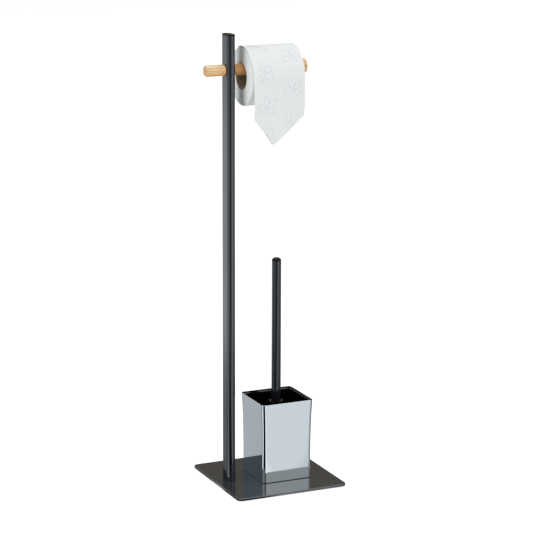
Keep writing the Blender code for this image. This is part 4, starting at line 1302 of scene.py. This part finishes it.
def flat_sheet(width, length, lines):
    """A grid of cells, cut along the fold lines, that lies flat."""
    bm = bmesh.new()
    columns = round(width / SHEET_CELL)
    rows = round(length / SHEET_CELL)
    bmesh.ops.create_grid(bm, x_segments=columns, y_segments=rows, size=0.5)
    for vert in bm.verts:
        vert.co = Vector(((vert.co.x + 0.5) * width, (vert.co.y + 0.5) * length, 0))
    for start, along, outward in lines:
        for shift in (0.0, FOLD_EASE):
            everything = [*bm.verts, *bm.edges, *bm.faces]
            cut = {"plane_co": (start + outward * shift).to_3d(), "plane_no": outward.to_3d()}
            bmesh.ops.bisect_plane(bm, geom=everything, dist=CUT_TOLERANCE, **cut)
    return bm


def fold(flat, lines):
    """A flat point's place after folding, with how far behind the sheet it lies."""
    for (start, along, outward), gap in zip(lines, FOLD_GAPS):
        past = (flat - start).dot(outward)
        if past > 0:
            ease = min(past / FOLD_EASE, 1.0)
            return flat - outward * 2 * past, gap * ease
    return flat, 0.0


print("folds lie in mm behind the sheet:", [gap * 1000 for gap in FOLD_GAPS])

# %% Hang the sheet over the roll
TAIL_WRAP = radians(110)
SHEET_THICKNESS = 0.00025
SHEET_SHARP_ANGLE = radians(50)
SHEET_SWAY = 0.0016
SWAY_DROP = 0.030


def hang(folded, behind, width, radius, wrap_length):
    """A folded point's place round the roll's axis: on the wrap, or below it with its bend."""
    if folded.y < wrap_length:
        turn = pi - TAIL_WRAP + folded.y / radius
        return Vector((folded.x, radius * cos(turn), radius * sin(turn)))
    drop = folded.y - wrap_length
    sway = SHEET_SWAY * min(drop / SWAY_DROP, 1.0)
    return Vector((folded.x + sway, -radius + behind + bend(folded.x / width, drop), -drop))


def add_tail():
    """The loose sheet from the back of the roll to its folded point."""
    middle, low, size = box_facts("paper_tail")
    axis = box_facts("paper_roll")[0]
    radius = axis.y - low.y - SHEET_THICKNESS / 2
    wrap_length = radius * TAIL_WRAP
    width = size.x
    length = wrap_length + axis.z - low.z + SHEET_SAG
    lines = fold_lines(width, wrap_length, length)
    bm = flat_sheet(width, length, lines)
    paper = bm.loops.layers.uv.new(PAPER_MAP)
    for face in bm.faces:
        for loop in face.loops:
            loop[paper].uv = loop.vert.co.xy
    for vert in bm.verts:
        folded, behind = fold(vert.co.xy, lines)
        hung = hang(folded, behind, width, radius, wrap_length)
        vert.co = hung + Vector((low.x, axis.y, axis.z))
    mesh = plain_mesh(bm, "loose_sheet")
    piece = add_piece("loose_sheet", mesh, "roll_carriage", SHEET_TISSUE, "tissue", "paper_tail")
    give_wall(piece, SHEET_THICKNESS, offset=0.0, sharp_angle=SHEET_SHARP_ANGLE)
    print("sheet in mm:", [round(side * 1000, 1) for side in (width, length)])


add_tail()

# %% [markdown]
# ## The bristles
# The brush head is a round-ended sleeve drilled with staggered rings of holes. A tuft of stiff filaments
# is stapled into each, and the whole is trimmed to one outline. The rule follows the maker: rings at even
# steps of the sleeve's profile from its pole up, tufts spaced evenly round each ring, filaments spread in
# each tuft like seeds in a sunflower, and each cut where its line meets the trimmed outline.

# %% Turn the sleeve
SLEEVE_RADIUS = 0.009
SLEEVE_BORE = 0.0074
SLEEVE_LENGTH = 0.067
SLEEVE_STEPS = 40
DOME_STEPS = 8


def sleeve_mesh():
    """The closed round-ended sleeve, pole down, with the dome's centre at the origin."""
    quarter = [pi / 2 * step / DOME_STEPS for step in range(DOME_STEPS + 1)]
    top = SLEEVE_LENGTH - SLEEVE_RADIUS
    outside = [(SLEEVE_RADIUS * sin(turn), -SLEEVE_RADIUS * cos(turn)) for turn in quarter]
    inside = [(SLEEVE_BORE * sin(turn), -SLEEVE_BORE * cos(turn)) for turn in quarter]
    profile = [*outside, (SLEEVE_RADIUS, top), (SLEEVE_BORE, top), *inside[::-1]]
    bm = bmesh.new()
    lines = []
    for turn in [2 * pi * step / SLEEVE_STEPS for step in range(SLEEVE_STEPS)]:
        corners = [(across * cos(turn), across * sin(turn), height) for across, height in profile]
        lines.append([bm.verts.new(corner) for corner in corners])
    for near, far in zip(lines, [*lines[1:], lines[0]]):
        for place in range(len(profile) - 1):
            bm.faces.new((near[place], far[place], far[place + 1], near[place + 1]))
    mesh = plain_mesh(bm, "sleeve")
    face_outwards(mesh)
    return mesh


print("sleeve in mm:", SLEEVE_RADIUS * 2000, "wide,", SLEEVE_LENGTH * 1000, "long")

# %% Place the tufts
FEWEST_TUFTS = 3.0


def kept_value(recipe, shape, name, value):
    """Stores a number on a shape's points, and gives the shape and the number read back."""
    sockets = {"Geometry": shape, "Name": name, "Value": value}
    stored = recipe.add("GeometryNodeStoreNamedAttribute", {"data_type": "FLOAT"}, sockets)
    return stored, recipe.add("GeometryNodeInputNamedAttribute", {"data_type": "FLOAT"}, {"Name": name})


def copied(recipe, shape, amount):
    """Each point of a shape several times over, and each copy's number."""
    sockets = {"Geometry": shape, "Amount": amount}
    copies = recipe.add("GeometryNodeDuplicateElements", {"domain": "POINT"}, sockets)
    return copies, copies.out("Duplicate Index")


def tuft_points(recipe, given):
    """Points in staggered rings on the sleeve, with their turn round it and swing up from its pole."""
    rings = recipe.add("GeometryNodePoints", {}, {"Count": given.out("Rings")})
    rings, ring = kept_value(recipe, rings, "ring", recipe.add("GeometryNodeInputIndex"))
    way = (ring + 0.5) * given.out("Ring Pitch")
    swing = (way / given.out("Sleeve Radius")).at_most(pi / 2)
    around = swing.sine() * given.out("Sleeve Radius") * (2 * pi) / given.out("Tuft Pitch")
    around = around.nearest().at_least(FEWEST_TUFTS)
    tufts, number = copied(recipe, rings, around)
    stagger = ring.remainder(2.0) * 0.5
    tufts, turn = kept_value(recipe, tufts, "turn", (number + stagger) / around * (2 * pi))
    return tufts, turn, swing, way


print("no ring has fewer tufts than", round(FEWEST_TUFTS))

# %% One filament, and where it is cut
BRISTLE_SIDES = 3
BRISTLE_SEGMENTS = 3
BRISTLE_BOW = 0.08


def one_bristle(recipe, given):
    """A three-sided filament of length 1 that bows a little."""
    sizes = {"Radius": given.out("Bristle Radius"), "Depth": 1.0}
    counts = {"Vertices": BRISTLE_SIDES, "Side Segments": BRISTLE_SEGMENTS}
    straight = recipe.add("GeometryNodeMeshCylinder", {}, {**counts, **sizes})
    way = recipe.parts(recipe.position())[2] + 0.5
    bow = recipe.point((way - way * way) * BRISTLE_BOW, 0.0, 0.5)
    return recipe.add("GeometryNodeSetPosition", {}, {"Geometry": straight, "Offset": bow})


def trimmed_length(recipe, foot, aim, radius):
    """How far a line runs until it meets the trimmed outline: a ball below, an upright tube above."""
    flatten = recipe.point(1.0, 1.0, recipe.parts(foot)[2].is_under(0.0))
    foot = recipe.vector("MULTIPLY", foot, flatten)
    aim = recipe.vector("MULTIPLY", aim, flatten)
    square = recipe.vector("DOT_PRODUCT", aim, aim)
    cross = recipe.vector("DOT_PRODUCT", foot, aim)
    rest = recipe.vector("DOT_PRODUCT", foot, foot) - radius * radius
    return ((cross * cross - square * rest).root() - cross) / square


print("faces round a filament:", BRISTLE_SIDES)

# %% The tufts' tree
GOLDEN_TURN = pi * (3 - sqrt(5))
TUFT_TWIST = 7.0
AIM_SCATTER = 0.035
AIM_SEED = 5
LENGTH_PLAY = 0.03
LENGTH_SEED = 9


def bristle_tree(sizes, finish):
    """Tufts of trimmed filaments on the sleeve that stands in the Ground input."""
    recipe, given = start_shape("bristle_tufts", sizes)
    tufts, turn, swing, way = tuft_points(recipe, given)
    bristles, number = copied(recipe, tufts, given.out("Bristles"))
    bristles, number = kept_value(recipe, bristles, "number", number)
    radius = given.out("Sleeve Radius")
    up_side = (way - radius * (pi / 2)).at_least(0.0)
    tilt = up_side / (given.out("Sleeve Length") - radius) * given.out("Tilt")
    out = recipe.point(swing.sine() * turn.cosine(), swing.sine() * turn.sine(), swing.cosine() * -1)
    foot = recipe.vector("SCALE", out, share=radius)
    foot = recipe.vector("ADD", foot, recipe.point(0.0, 0.0, up_side))
    sideways = recipe.point(turn.sine() * -1, turn.cosine(), 0.0)
    upwards = recipe.vector("CROSS_PRODUCT", out, sideways)
    away = ((number + 0.5) / given.out("Bristles")).root()
    seed_turn = number * GOLDEN_TURN + turn * TUFT_TWIST
    first = recipe.vector("SCALE", sideways, share=away * seed_turn.cosine())
    fan = recipe.vector("ADD", first, recipe.vector("SCALE", upwards, share=away * seed_turn.sine()))
    foot = recipe.vector("ADD", foot, recipe.vector("SCALE", fan, share=given.out("Tuft Hole")))
    scatter = {"Min": (-AIM_SCATTER,) * 3, "Max": (AIM_SCATTER,) * 3, "Seed": AIM_SEED}
    scatter = recipe.add("FunctionNodeRandomValue", {"data_type": "FLOAT_VECTOR"}, scatter)
    aim = recipe.vector("ADD", out, recipe.vector("SCALE", fan, share=given.out("Tuft Spread")))
    aim = recipe.vector("ADD", aim, recipe.point(0.0, 0.0, tilt))
    aim = recipe.vector("NORMALIZE", recipe.vector("ADD", aim, scatter))
    play = {"Min": 0.0, "Max": LENGTH_PLAY, "Seed": LENGTH_SEED}
    play = recipe.add("FunctionNodeRandomValue", {}, play)
    length = trimmed_length(recipe, foot, aim, given.out("Trim Radius")) * (1 - LENGTH_PLAY + play)
    placed = recipe.add("GeometryNodeSetPosition", {}, {"Geometry": bristles, "Position": foot})
    facing = recipe.add("FunctionNodeAlignRotationToVector", {"axis": "Z"}, {"Vector": aim})
    stood = {
        "Points": placed,
        "Instance": one_bristle(recipe, given),
        "Rotation": facing,
        "Scale": recipe.point(length, length, length),
    }
    grown = recipe.add("GeometryNodeInstanceOnPoints", {}, stood)
    real = recipe.add("GeometryNodeRealizeInstances", {}, {"Geometry": grown})
    for name in ("ring", "turn", "number"):
        real = recipe.add("GeometryNodeRemoveAttribute", {}, {"Geometry": real, "Name": name})
    return end_shape(recipe, recipe.join(real, given.out("Ground")), finish)


print("filaments are cut within a share of", LENGTH_PLAY)

# %% Grow the tufts
RING_PITCH = 0.0048
TUFT_PITCH = 0.0042
TUFT_HOLE = 0.0012
TUFT_SPREAD = 0.20
TUFT_RINGS = 14
BRISTLE_TILT = 0.25
BRISTLE_RADIUS = 0.0075
BRISTLES_PER_TUFT = 24
BRISTLE_SHARP_ANGLE = radians(50)


def add_bristles():
    """The sleeve with its tufts, where the frame has it."""
    middle, low, size = box_facts("brush_bristles")
    sizes = {
        "Sleeve Radius": SLEEVE_RADIUS,
        "Sleeve Length": SLEEVE_LENGTH,
        "Trim Radius": size.x / 2,
        "Ring Pitch": RING_PITCH,
        "Tuft Pitch": TUFT_PITCH,
        "Tuft Hole": TUFT_HOLE,
        "Tuft Spread": TUFT_SPREAD,
        "Tilt": BRISTLE_TILT,
        "Bristle Radius": BRISTLE_RADIUS,
        "Bristles": BRISTLES_PER_TUFT,
        "Rings": TUFT_RINGS,
    }
    mesh = grow(bristle_tree(sizes, FILAMENT), sizes, sleeve_mesh())
    mesh.transform(Matrix.Translation((middle.x, middle.y, low.z + size.x / 2)))
    shade(mesh, BRISTLE_SHARP_ANGLE)
    piece = add_piece("brush_head_bristles", mesh, "brush", FILAMENT, "bristle_plastic", "brush_bristles")


add_bristles()

# %% [markdown]
# ## Pads and fasteners
# The rubber pads, the screws, the washer, the nut and the inserts are hidden or hardly seen, and their shape
# is right. Copies would gain nothing, so they stay the frame's own pieces. Each gets its finish in place, by
# the material slot that it carries.

# %% Dress the small pieces that stay as they are
DRESS = {"zinc_steel": ZINC, "foot_rubber": RUBBER}
dressed = []
for name, node in frame["nodes"].items():
    slot_name = node.data.materials[0].name
    if slot_name in DRESS:
        node.data.materials[0] = DRESS[slot_name]
        dressed.append(name)
print("dressed in place:", sorted(dressed))
